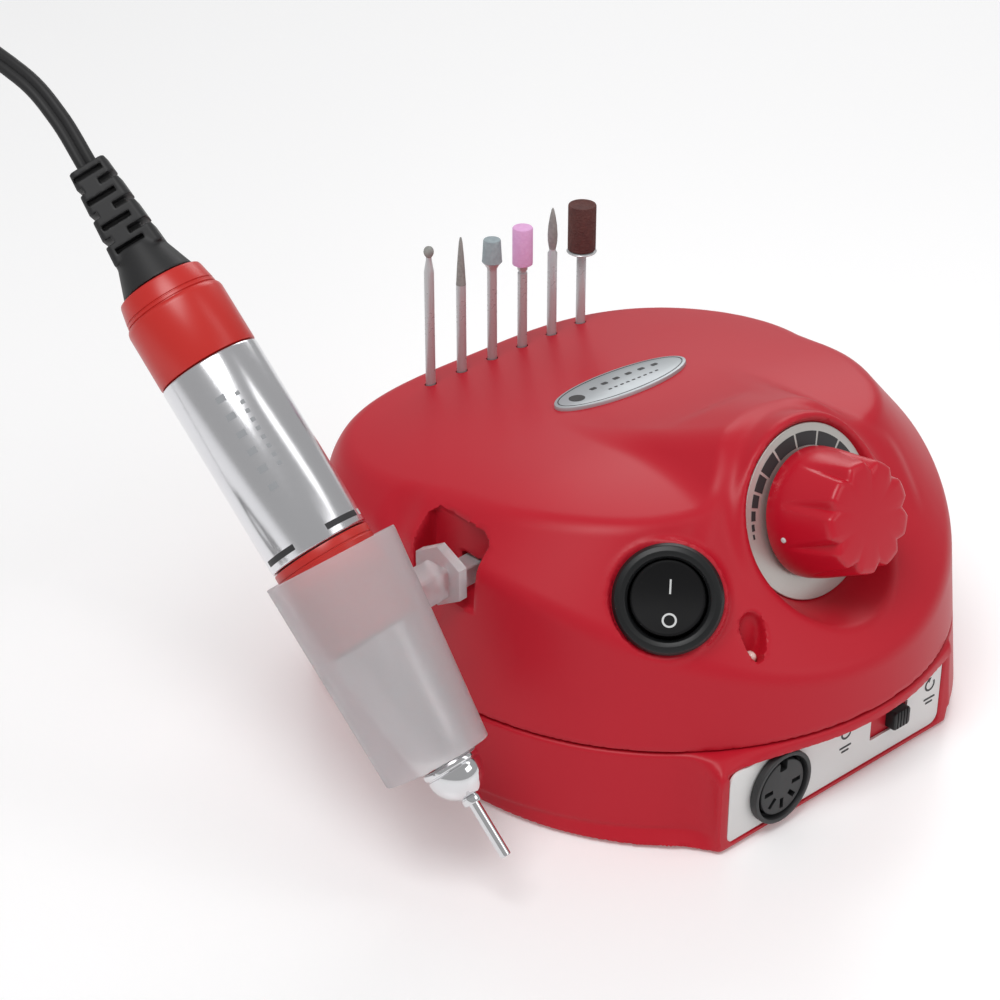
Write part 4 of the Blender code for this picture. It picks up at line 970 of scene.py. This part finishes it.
# ------------------------------------------------------------------ feet, screws, rear fittings
for i, (x, y) in enumerate(FEET):
    lathe(f"rubber_foot_{i + 1}", soften([(0, -1.5), (4.7, -1.5), (5.1, -1.1), (5.1, 0.1), (0, 0.1)], 0.25), frame_of((x, y, 0), (0, 0, 1)), "rubber", "unit", seg=40, replaces=[f"foot_{i + 1}"])
for i, (x, y) in enumerate(POSTS):
    cross = [(-0.35, -1.7), (0.35, -1.7), (0.35, -0.35), (1.7, -0.35), (1.7, 0.35), (0.35, 0.35), (0.35, 1.7), (-0.35, 1.7), (-0.35, 0.35), (-1.7, 0.35), (-1.7, -0.35), (-0.35, -0.35)]
    bool_link(f"case_screw_head_{i + 1}", lathe_bm(soften([(0, -0.4), (2.8, -0.4), (2.8, 1.6), (1.4, 1.7), (1.4, 29.5), (0, 30.5)], 0.25), seg=32), [prism_bm(cross, -2, 0.9)], frame_of((x, y, 0), (0, 0, 1)), "steel", "unit", [f"case_screw_{i + 1}"])
at = {k: frame_of((REAR[k], REAR_Y, REAR_Z), (0, 1, 0)) for k in REAR}
lathe("foot_pedal_jack_ring", soften([(0, -11), (4.5, -11), (4.5, 0.3), (5.6, 0.3), (5.6, 1.8), (3.3, 1.8), (3.3, -9), (0, -9)], 0.3), at["foot_jack"], "satin_black", "unit", seg=64, replaces=["foot_pedal_jack"])
bool_link("fuse_holder_cap", lathe_bm(soften([(0, -13), (4.9, -13), (4.9, 0.3), (6.4, 0.3), (6.4, 2.4), (5.2, 4.0), (0, 4.0)], 0.3), seg=64), [prism_bm(rounded(8.0, 1.2, 0.3), 2.9, 6)], at["fuse"], "satin_black", "unit", ["fuse_holder"])
lathe("mains_inlet_gland_body", soften([(2.6, -8), (4.2, -8), (4.2, 0.3), (5.8, 0.3), (5.7, 1.4), (5.3, 3.6), (2.6, 3.6)], 0.4, True), at["inlet"], "rubber", "unit", ring=True, seg=64, replaces=["mains_inlet_gland"])
ms = frame_of((REAR["mode"] - 2.2, REAR_Y, REAR_Z), (0, 1, 0))
bm = prism_bm(rounded(4.8, 3.6, 0.5), -3.3, 2.2, bevel=0.3)
bool_link("mode_slider_knob", bm, [prism_bm([(x - 0.25, -3), (x + 0.25, -3), (x + 0.25, 3), (x - 0.25, 3)], 1.7, 4) for x in (-1.2, 0, 1.2)], ms, "satin_black", "mode_switch", ["mode_slider"])

# ------------------------------------------------------------------ cradle: cup, stub and hexagonal plug in one moulding
cup = lathe_bm(soften([(14.6, -15.0), (11.65, 32.0), (10.75, 32.0), (13.7, -15.0)], 0.35, True), ring=True, seg=128)
to_cup = cup_frame.inverted() @ peg_frame


def in_cup(bm):
    m = to_cup.copy()
    m.translation *= 1000
    bmesh.ops.transform(bm, matrix=m, verts=bm.verts)
    return bm


hexagon = [(7.3 * math.cos(math.radians(90 + 60 * k)), 7.3 * math.sin(math.radians(90 + 60 * k))) for k in range(6)]
stub = in_cup(prism_bm(rounded(6.6, 7.2, 0.8, 4, cy=-0.6), 0.0, CUP_REACH - 13.2))
plate = in_cup(prism_bm(hexagon, 0.0, 2.4, bevel=0.25))
tongue = in_cup(prism_bm(rounded(4.8, 4.8, 0.5, cy=-2.6), -16.5, 0.2))
bore = lathe_bm([(0, -30), (13.75, -30), (13.75, -14.9), (10.82, 31.9), (0, 31.9)], seg=128)
bool_link("cradle_cup", cup, [(stub, "UNION"), (plate, "UNION"), (tongue, "UNION"), (bore, "DIFFERENCE")], cup_frame, "frost", "unit", ["handpiece_cradle"], sharp=30)

# ------------------------------------------------------------------ bits
S = SHANK_R


def bit(name, profile, i, mats, body, nodes, cuts=(), seg=32):
    """Turned piece; above each height in cuts the next material is used."""
    where = frame_of((BIT_X0 + BIT_PITCH * i, BIT_Y, BIT_FOOT), (0, 0, 1))
    ob = link(name, lathe_bm(profile, seg=seg), where, mats[0], body, nodes, 40, mats=mats[1:])
    for p in ob.data.polygons:
        h = sum(ob.data.vertices[v].co.z for v in p.vertices) / len(p.vertices) * 1000
        p.material_index = sum(h > c for c in cuts)
    return ob


bit("bit_ball", [(0, 0), (S - 0.1, 0), (S, 0.2), (S, 37.6), (1.0, 38.6), (0.68, 40.6), (0.66, 41.3), (0.9, 41.6), (1.13, 42.1), (1.2, 42.6), (1.1, 43.2), (0.8, 43.65), (0.4, 43.85), (0, 43.9)], 0, ["shank", "flame"], "bit_1", ["bit_1_ball"], (41.4,))
bit("bit_needle", [(0, 0), (S - 0.1, 0), (S, 0.2), (S, 31.4), (1.1, 32.5), (0.98, 35.0), (0.75, 38.5), (0.45, 42.0), (0.22, 43.3), (0, 43.5)], 1, ["shank", "flame"], "bit_2", ["bit_2_needle"], (31.6,))
bit("bit_cone_stone", [(0, 0), (S - 0.1, 0), (S, 0.2), (S, 32.2), (1.25, 32.8), (2.1, 34.1), (2.3, 34.3), (2.42, 34.45), (2.35, 34.8), (2.08, 39.7), (1.95, 39.95), (0, 40.0)], 2, ["shank", "stone_grey"], "bit_3", ["bit_3_shank", "bit_3_stone"], (34.3,), 48)
bit("bit_pink_stone", [(0, 0), (S - 0.1, 0), (S, 0.2), (S, 28.6), (0.9, 28.8), (0.9, 29.2), (1.2, 29.4), (1.35, 30.5), (1.9, 30.6), (2.42, 30.9), (2.45, 31.2), (2.45, 40.0), (2.3, 40.25), (2.0, 40.35), (0, 40.4)], 3, ["shank", "stone_pink"], "bit_4", ["bit_4_shank", "bit_4_stone"], (30.58,), 48)
bit("bit_flame", [(0, 0), (S - 0.1, 0), (S, 0.2), (S, 30.9), (0.85, 31.4), (0.8, 31.9), (0.95, 32.6), (1.15, 34.0), (1.2, 35.6), (1.05, 38.0), (0.7, 40.3), (0.3, 42.1), (0, 42.6)], 4, ["shank", "flame"], "bit_5", ["bit_5_flame"], (31.7,))
bit("bit_mandrel", [(0, 0), (S - 0.1, 0), (S, 0.2), (S, 27.5), (0.85, 27.9), (0.85, 28.2), (3.6, 28.35), (3.7, 28.5), (3.6, 28.65), (2.9, 28.9), (0.9, 29.1), (0.9, 39.0), (0, 39.0)], 5, ["shank"], "bit_6", ["bit_6_mandrel"])
where = frame_of((BIT_X0 + BIT_PITCH * 5, BIT_Y, BIT_FOOT), (0, 0, 1))
lathe("bit_sanding_band", [(0, 39.2), (2.55, 39.4), (2.65, 29.3), (3.35, 29.1), (3.42, 29.4), (3.42, 40.3), (3.3, 40.6), (2.7, 40.65), (2.5, 40.5), (0, 40.4)], where, "band", "bit_6", replaces=["bit_6_sanding_band"], seg=64, sharp=50)

# ------------------------------------------------------------------ handpiece
VIEW_PHI = math.degrees(math.atan2((hand_frame.to_3x3().transposed() @ cam_dir).y, (hand_frame.to_3x3().transposed() @ cam_dir).x))
FLATS = math.radians(VIEW_PHI + 90)     # direction of the relief's wide side


def relief_field(x, y, z):
    u = x * math.cos(FLATS) + y * math.sin(FLATS)
    v = -x * math.sin(FLATS) + y * math.cos(FLATS)
    d = z + 110.0
    hw, hv = 4.1 + 0.075 * d, 3.5 + 0.045 * d
    qx, qy = np.abs(u) - hw + 1.3, np.abs(v) - hv + 1.3
    rect = np.sqrt(np.maximum(qx, 0) ** 2 + np.maximum(qy, 0) ** 2) + np.minimum(np.maximum(qx, qy), 0) - 1.3
    ladder = smax(rect, d - 21.6, 0.5)
    for c in (4.55, 10.5, 16.5):
        notch = smax(smax(np.abs(d - c) - 0.7, 3.1 - np.abs(u), 0.25), -100 - u, 0.1)
        ladder = smax(ladder, -notch, 0.25)
        for s in (1, -1):
            pit = smax(smax(np.abs(d - c) - 0.75, np.abs(u * s - 1.9) - 1.3, 0.3), 1.9 - v * s, 0.3)
            ladder = smax(ladder, -pit, 0.25)
    for c in (1.9, 7.5, 13.5, 19.1):
        for s in (1, -1):
            win = smax(smax(np.abs(d - c) - 0.62, np.abs(u * s + 0.55) - 3.3, 0.3), 1.9 - v * s, 0.3)
            ladder = smax(ladder, -win, 0.25)
    rad = np.sqrt(x * x + y * y)
    cone = smax(rad - (5.1 + 3.0 * np.clip((d - 19.8) / 8.5, 0, 1.2)), 19.6 - d, 0.6)
    cone = smax(cone, d - 28.4, 0.4)
    arch = np.sqrt(((u + 3.6) / 1.9) ** 2 + ((d - 28.6) / 4.2) ** 2) * 1.9 - 1.9
    cone = smax(cone, -smax(arch, 5.6 - v, 0.4), 0.3)
    body = smin(ladder, cone, 0.5)
    body = smax(body, -d, 0.4)
    return body


# the wide side and the slots face the camera's side of the handpiece
def local_net(name, field, lo, hi, h, where, mat, body, replaces, sharp=40):
    pts, quads = surface_net(field, lo, hi, h)
    me = bpy.data.meshes.new(name)
    me.vertices.add(len(pts)); me.vertices.foreach_set("co", (pts / 1000).astype(np.float32).ravel())
    me.loops.add(len(quads) * 4); me.loops.foreach_set("vertex_index", quads.astype(np.int32).ravel())
    me.polygons.add(len(quads)); me.polygons.foreach_set("loop_start", np.arange(0, len(quads) * 4, 4, dtype=np.int32))
    me.update(calc_edges=True); me.validate()
    ob = bpy.data.objects.new(name, me)
    scene.collection.objects.link(ob)
    ob.matrix_world = where
    me.materials.append(M[mat]); me.shade_smooth(); me.set_sharp_from_angle(angle=math.radians(sharp))
    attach(ob, body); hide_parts(*replaces)
    return ob


relief = local_net("lead_strain_relief", relief_field, (-9, -9, -111), (9, 9, -80.6), 0.28, hand_frame, "rubber", "handpiece", ["strain_relief"])
lathe("rear_cap_body", [(3.0, -81.2), (8.9, -81.25), (9.3, -81.05), (9.5, -80.6), (10.15, -77.4), (10.18, -77.2), (10.0, -77.05), (10.02, -76.9), (10.25, -76.75), (10.32, -76.2), (10.14, -76.05), (10.16, -75.9), (10.6, -75.7), (10.85, -75.3), (11.0, -74.6), (11.05, -62.0), (10.95, -61.75), (10.6, -61.65), (9.2, -61.65), (9.2, -74.0), (3.0, -78.0)], hand_frame, "hand_red", "handpiece", ring=True, seg=128, replaces=["rear_cap"], sharp=30)
lathe("barrel_sleeve_tube", [(10.7, -61.45), (10.95, -61.3), (11.05, -61.0), (11.05, -18.1), (10.95, -17.8), (10.7, -17.62), (9.6, -17.6), (9.6, -61.45)], hand_frame, "alu", "handpiece", ring=True, seg=160, replaces=["barrel_sleeve"], sharp=50)


def on_tube(polys, r0, r1, where, name, mat, body):
    """Outlines in (angle in degrees, height) wrapped on a tube as thin closed pads."""
    bm = bmesh.new()
    for pts, cols in polys:
        (a0, h0), (a1, h1) = pts
        grid = []
        for r in (r0, r1):
            layer = []
            for k in range(cols + 1):
                a = math.radians(a0 + (a1 - a0) * k / cols)
                layer.append([bm.verts.new((r * math.cos(a), r * math.sin(a), h)) for h in (h0, h1)])
            grid.append(layer)
        low, high = grid
        for k in range(cols):
            bm.faces.new((high[k][0], high[k + 1][0], high[k + 1][1], high[k][1]))
            bm.faces.new((low[k][1], low[k + 1][1], low[k + 1][0], low[k][0]))
            bm.faces.new((low[k][0], low[k + 1][0], high[k + 1][0], high[k][0]))
            bm.faces.new((low[k + 1][1], low[k][1], high[k][1], high[k + 1][1]))
        bm.faces.new((low[0][1], low[0][0], high[0][0], high[0][1]))
        bm.faces.new((low[-1][0], low[-1][1], high[-1][1], high[-1][0]))
    return link(name, bm, where, mat, body, smooth=False)


on_tube([(((15.5, -20.5), (-32.0, -19.2)), 16), (((-72.0, -20.5), (-119.0, -19.2)), 16)], 10.9, 11.09, hand_frame, "sleeve_index_bars", "ink", "handpiece")
on_tube([(((-126.0, -20.5), (-131.5, -19.2)), 4)], 10.9, 11.12, hand_frame, "sleeve_index_dot", "white_ink", "handpiece")
dashes = [(((-41.5, -53.5 + 4.1 * k), (-52.0, -52.1 + 4.1 * k)), 5) for k in range(6)]
dashes += [(((-62.5, -52.6 + 2.05 * k), (-67.5, -51.7 + 2.05 * k)), 3) for k in range(9)]
mat_mark = plastic("etched_mark", srgb(150, 152, 155), rough=0.5, bump=0.003)
M["mark"] = mat_mark
on_tube(dashes, 10.9, 11.08, hand_frame, "sleeve_marks", "mark", "handpiece")

lathe("lock_collar_ring", [(10.5, -17.35), (10.85, -17.25), (10.92, -17.0), (10.92, -15.6), (10.78, -15.45), (10.78, -15.2), (10.9, -15.05), (10.72, 3.0), (10.5, 3.35), (9.3, 3.4), (9.3, -17.3)], hand_frame, "hand_red", "nose", ring=True, seg=128, replaces=["lock_collar"], sharp=30)
lathe("nose_cone_body", [(9.3, 3.65), (9.6, 3.8), (9.65, 4.2), (9.4, 12.0), (8.8, 18.0), (8.0, 24.0), (6.6, 32.4), (6.4, 32.75), (4.2, 32.8), (6.4, 24.0), (6.9, 3.7)], hand_frame, "cone", "nose", ring=True, seg=96, replaces=["nose_cone"], sharp=35)
lathe("nose_tip_cap", [(5.6, 32.95), (6.1, 33.05), (6.25, 33.3), (6.25, 34.2), (6.1, 34.4), (5.75, 34.5), (5.7, 34.7), (5.95, 34.9), (6.0, 35.3), (5.9, 36.4), (5.5, 37.7), (4.85, 38.9), (3.9, 39.95), (2.8, 40.7), (2.15, 41.0), (1.95, 41.15), (1.95, 41.35), (2.1, 41.45), (2.1, 42.5), (1.95, 42.75), (1.5, 42.8), (1.5, 40.4), (3.6, 38.2), (3.6, 33.0)], hand_frame, "chrome", "nose", ring=True, seg=128, replaces=["nose_tip"], sharp=35)
lathe("collet", soften([(0, 22.4), (3.2, 22.4), (3.2, 38.0), (1.5, 39.8), (1.5, 26.0), (0, 26.0)], 0.2), hand_frame, "steel", "spindle", seg=48, replaces=["collet_chuck"])
lathe("fitted_bit_shank", [(0, 26.4), (S, 26.4), (S, 54.9), (1.1, 55.2), (0.95, 55.3), (0, 55.3)], hand_frame, "chrome", "chuck_bit", seg=32, replaces=["fitted_bit"])

# ------------------------------------------------------------------ handpiece lead
E = HAND_AT - HAND_N * 110.3
ROUTE = [E, E - HAND_N * 12, E - HAND_N * 24 + Vector((-2, 0, -1))]
ROUTE += [Vector(p) for p in ((-124, 106, 161), (-140, 114, 160), (-156, 118, 146), (-170, 118, 120), (-181, 115, 88), (-190, 110.5, 52), (-195, 105.5, 24), (-199, 102, 8.0), (-205.5, 98.6, 1.0))]


def smooth_route(points, steps):
    pts = [Vector(p) for p in points]
    pts = [pts[0] * 2 - pts[1]] + pts + [pts[-1] * 2 - pts[-2]]
    out = []
    for a, b, c, d in zip(pts, pts[1:], pts[2:], pts[3:]):
        t0 = 0.0
        t1 = t0 + (b - a).length ** 0.5
        t2 = t1 + (c - b).length ** 0.5
        t3 = t2 + (d - c).length ** 0.5
        for k in range(steps):
            t = t1 + (t2 - t1) * k / steps
            p1 = a * ((t1 - t) / (t1 - t0)) + b * ((t - t0) / (t1 - t0))
            p2 = b * ((t2 - t) / (t2 - t1)) + c * ((t - t1) / (t2 - t1))
            p3 = c * ((t3 - t) / (t3 - t2)) + d * ((t - t2) / (t3 - t2))
            q1 = p1 * ((t2 - t) / (t2 - t0)) + p2 * ((t - t0) / (t2 - t0))
            q2 = p2 * ((t3 - t) / (t3 - t1)) + p3 * ((t - t1) / (t3 - t1))
            out.append(q1 * ((t2 - t) / (t2 - t1)) + q2 * ((t - t1) / (t2 - t1)))
    out.append(pts[-2])
    return out


path = smooth_route(ROUTE, 8)
path[0] = E - HAND_N * 0.05
LOW, HIGH = FLOOR + CORD_W / 2 + 0.05, FLOOR + CORD_W * 1.5 + 0.15
end = path[-1]
a_end = math.atan2(end.y - COIL_AT.y, end.x - COIL_AT.x)
r_end = math.hypot(end.y - COIL_AT.y, end.x - COIL_AT.x)
R_OUT, R_IN = 29.2, 22.6


def coil_point(a, r, z):
    return Vector((COIL_AT.x + r * math.cos(a), COIL_AT.y + r * math.sin(a), z))


def ease(t):
    t = min(1, max(0, t))
    return t * t * (3 - 2 * t)


turns_in, turns_out = 2.75, 0.0
total_in = 2 * math.pi * turns_in
step_a = math.radians(7.5)
a = 0.0
while a < total_in:
    a += step_a
    settle = ease(a / math.radians(75))
    r = r_end + (R_OUT - 2.4 * a / (2 * math.pi) - r_end) * settle
    path.append(coil_point(a_end + a, r, end.z + (LOW - end.z) * ease(a / 0.6)))
a0, r0 = a_end + a, r
goal = math.pi
turn = goal - (a0 % (2 * math.pi))
total_out = turn + (2 * math.pi if turn > 0 else 4 * math.pi) + 2 * math.pi
slope_out = (R_OUT - r0) / total_out
b_ = 0.0
while b_ < total_out - 1e-6:
    b_ = min(total_out, b_ + step_a)
    z = LOW + (HIGH - LOW) * ease(b_ / math.radians(70))
    path.append(coil_point(a0 + b_, r0 + slope_out * b_, z))
last = path[-1]
d_plug = Vector((-0.08, -1, 0)).normalized()
join = PLUG_AT + d_plug * 1.0
for k in range(1, 7):
    t = k / 6
    h00, h10, h01, h11 = 2 * t**3 - 3 * t**2 + 1, t**3 - 2 * t**2 + t, -2 * t**3 + 3 * t**2, t**3 - t**2
    path.append(last * h00 + Vector((0, -1, 0)) * 13 * h10 + join * h01 + d_plug * 13 * h11)

LOBE = CORD_T / 2
LOBE_AT = CORD_W / 2 - LOBE
section = []
for k in range(9):
    t = math.radians(-118 + 236 * k / 8)
    section.append((LOBE_AT + LOBE * math.cos(t), LOBE * math.sin(t)))
section.append((0.0, 0.62))
for k in range(9):
    t = math.radians(62 + 236 * k / 8)
    section.append((-LOBE_AT + LOBE * math.cos(t), LOBE * math.sin(t)))
section.append((0.0, -0.62))
bm = bmesh.new()
tangents = []
for k in range(len(path)):
    u = path[min(k + 1, len(path) - 1)] - path[max(k - 1, 0)]
    tangents.append(u.normalized())
tangents[0] = -HAND_N
tangents[-1] = d_plug
dist = [0.0]
for p, q in zip(path, path[1:]):
    dist.append(dist[-1] + (q - p).length)
rings = []
prev = None
for p, t, s in zip(path, tangents, dist):
    flat = t.cross(cam_dir)
    flat = (flat - t * flat.dot(t)).normalized()
    if flat.z < 0:
        flat = -flat
    upright = Vector((0, 0, 1)) - t * t.z
    side_w = upright.normalized() if upright.length > 0.2 else flat
    w = ease((s - 150) / 130)
    wide = (flat * (1 - w) + side_w * w)
    wide = (wide - t * wide.dot(t)).normalized()
    if prev is not None and wide.dot(prev) < 0:
        wide = -wide
    prev = wide
    thin = t.cross(wide)
    rings.append([bm.verts.new(p + wide * x + thin * y) for x, y in section])
n_sec = len(section)
for a_, b2 in zip(rings, rings[1:]):
    for i in range(n_sec):
        j = (i + 1) % n_sec
        bm.faces.new((a_[i], b2[i], b2[j], a_[j]))
bm.faces.new(rings[0]); bm.faces.new(rings[-1])
bmesh.ops.recalc_face_normals(bm, faces=bm.faces)
for v in bm.verts:
    v.co = (v.co + SHIFT) / 1000
me = bpy.data.meshes.new("twin_lead")
bm.to_mesh(me); bm.free()
lead = bpy.data.objects.new("twin_lead", me)
scene.collection.objects.link(lead)
me.materials.append(M["rubber"])
me.shade_smooth(); me.set_sharp_from_angle(angle=math.radians(60))
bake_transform(lead)
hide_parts("handpiece_lead", "lead_coil")

plug_frame = frame_of(PLUG_AT, (-0.08, -1, 0))
plug = lathe("din_plug_body", soften([(0, 0), (2.6, 0), (2.7, 1.5), (2.4, 1.8), (2.4, 3.0), (2.9, 3.3), (2.9, 4.8), (2.6, 5.1), (2.6, 6.3), (3.1, 6.6), (3.2, 8.4), (2.9, 8.7), (3.2, 10), (7.2, 14), (7.8, 18), (7.8, 20.5), (7.5, 20.8), (7.5, 21.6), (7.8, 21.9), (7.8, 24.0), (7.5, 24.3), (7.5, 25.1), (7.8, 25.4), (7.8, 36), (6.6, 36.4), (0, 36.4)], 0.2), plug_frame, "satin_black", "unit", seg=72, replaces=["din_plug"], sharp=45)
skirt = lathe("din_plug_skirt", [(6.6, 35.5), (6.6, 45.8), (6.5, 46.0), (6.2, 46.0), (6.1, 45.8), (6.1, 38.5), (0, 38.5), (0, 35.5)], plug_frame, "chrome", "unit", seg=72, sharp=45)
bm = bmesh.new()
for k in range(5):
    t = math.radians(180 + 45 * k)
    lathe_bm([(0, 38.0), (0.72, 38.0), (0.72, 44.6), (0.4, 45.2), (0, 45.3)], seg=14, bm=bm, shift=(3.7 * math.cos(t), 3.7 * math.sin(t)))
pins = link("din_plug_pins", bm, plug_frame, "chrome", "unit")

# ------------------------------------------------------------------ pieces that stay as packed get a finish of their own
FINISH = {
    "transformer_core": "iron", "transformer_coil": "copper", "control_board": "board", "filter_capacitor": "satin_black",
    "heatsink": "alu", "direction_switch_body": "black", "mode_switch_body": "black", "potentiometer_body": "iron",
    "potentiometer_shaft": "steel", "motor_can": "iron", "motor_rotor": "copper", "rear_bearing": "steel", "front_bearing": "steel",
}
for name, ob in CAD.items():
    if ob.hide_render:
        continue
    finish_mat = M[FINISH.get(name, "black")]
    if not ob.material_slots:
        ob.data.materials.append(finish_mat)
    for s_ in ob.material_slots:
        s_.material = finish_mat

# ------------------------------------------------------------------ floor and light
mat, tree, b = nodes_of("floor")
n, l = tree.nodes, tree.links
b.inputs["Base Color"].default_value = (0.9, 0.9, 0.905, 1)
b.inputs["Emission Color"].default_value = (1, 1, 1, 1)
b.inputs["Emission Strength"].default_value = 0.14
b.inputs["Roughness"].default_value = 0.32
b.inputs["Specular IOR Level"].default_value = 0.35
nz = n.new("ShaderNodeTexNoise"); nz.inputs["Scale"].default_value = 3
rr = n.new("ShaderNodeMapRange"); rr.inputs["To Min"].default_value = 0.28; rr.inputs["To Max"].default_value = 0.38
l.new(nz.outputs["Fac"], rr.inputs["Value"]); l.new(rr.outputs["Result"], b.inputs["Roughness"])
bm = bmesh.new()
bmesh.ops.create_grid(bm, x_segments=2, y_segments=2, size=4.0)
me = bpy.data.meshes.new("floor")
bm.to_mesh(me); bm.free()
floor = bpy.data.objects.new("floor", me)
me.materials.append(mat)
scene.collection.objects.link(floor)
floor.location = (0, 0, -0.0001)

world = bpy.data.worlds.new("studio")
scene.world = world
world.use_nodes = True
bg = world.node_tree.nodes["Background"]
bg.inputs["Color"].default_value = (1.0, 1.0, 1.0, 1)
bg.inputs["Strength"].default_value = 0.42


def area(name, at_, aim, size, power, colour=(1, 1, 1), shape="RECTANGLE"):
    la = bpy.data.lights.new(name, "AREA")
    la.shape = shape
    la.size, la.size_y = size
    la.energy = power
    la.color = colour
    ob = bpy.data.objects.new(name, la)
    scene.collection.objects.link(ob)
    ob.location = at_
    ob.rotation_euler = (Vector(aim) - Vector(at_)).to_track_quat("-Z", "Y").to_euler()
    return ob


area("key", (-0.5, -0.2, 1.2), (-0.01, 0.0, 0.04), (0.6, 0.6), 7.8)
area("front", (0.45, -1.05, 0.6), (0.02, 0, 0.04), (0.6, 0.4), 1.3)
area("strip", (0.43, -0.50, 0.80), (-0.07, -0.03, 0.08), (0.2, 0.5), 0.55)
area("rim", (0.8, 0.55, 0.7), (0, 0, 0.05), (0.7, 0.5), 2.6)
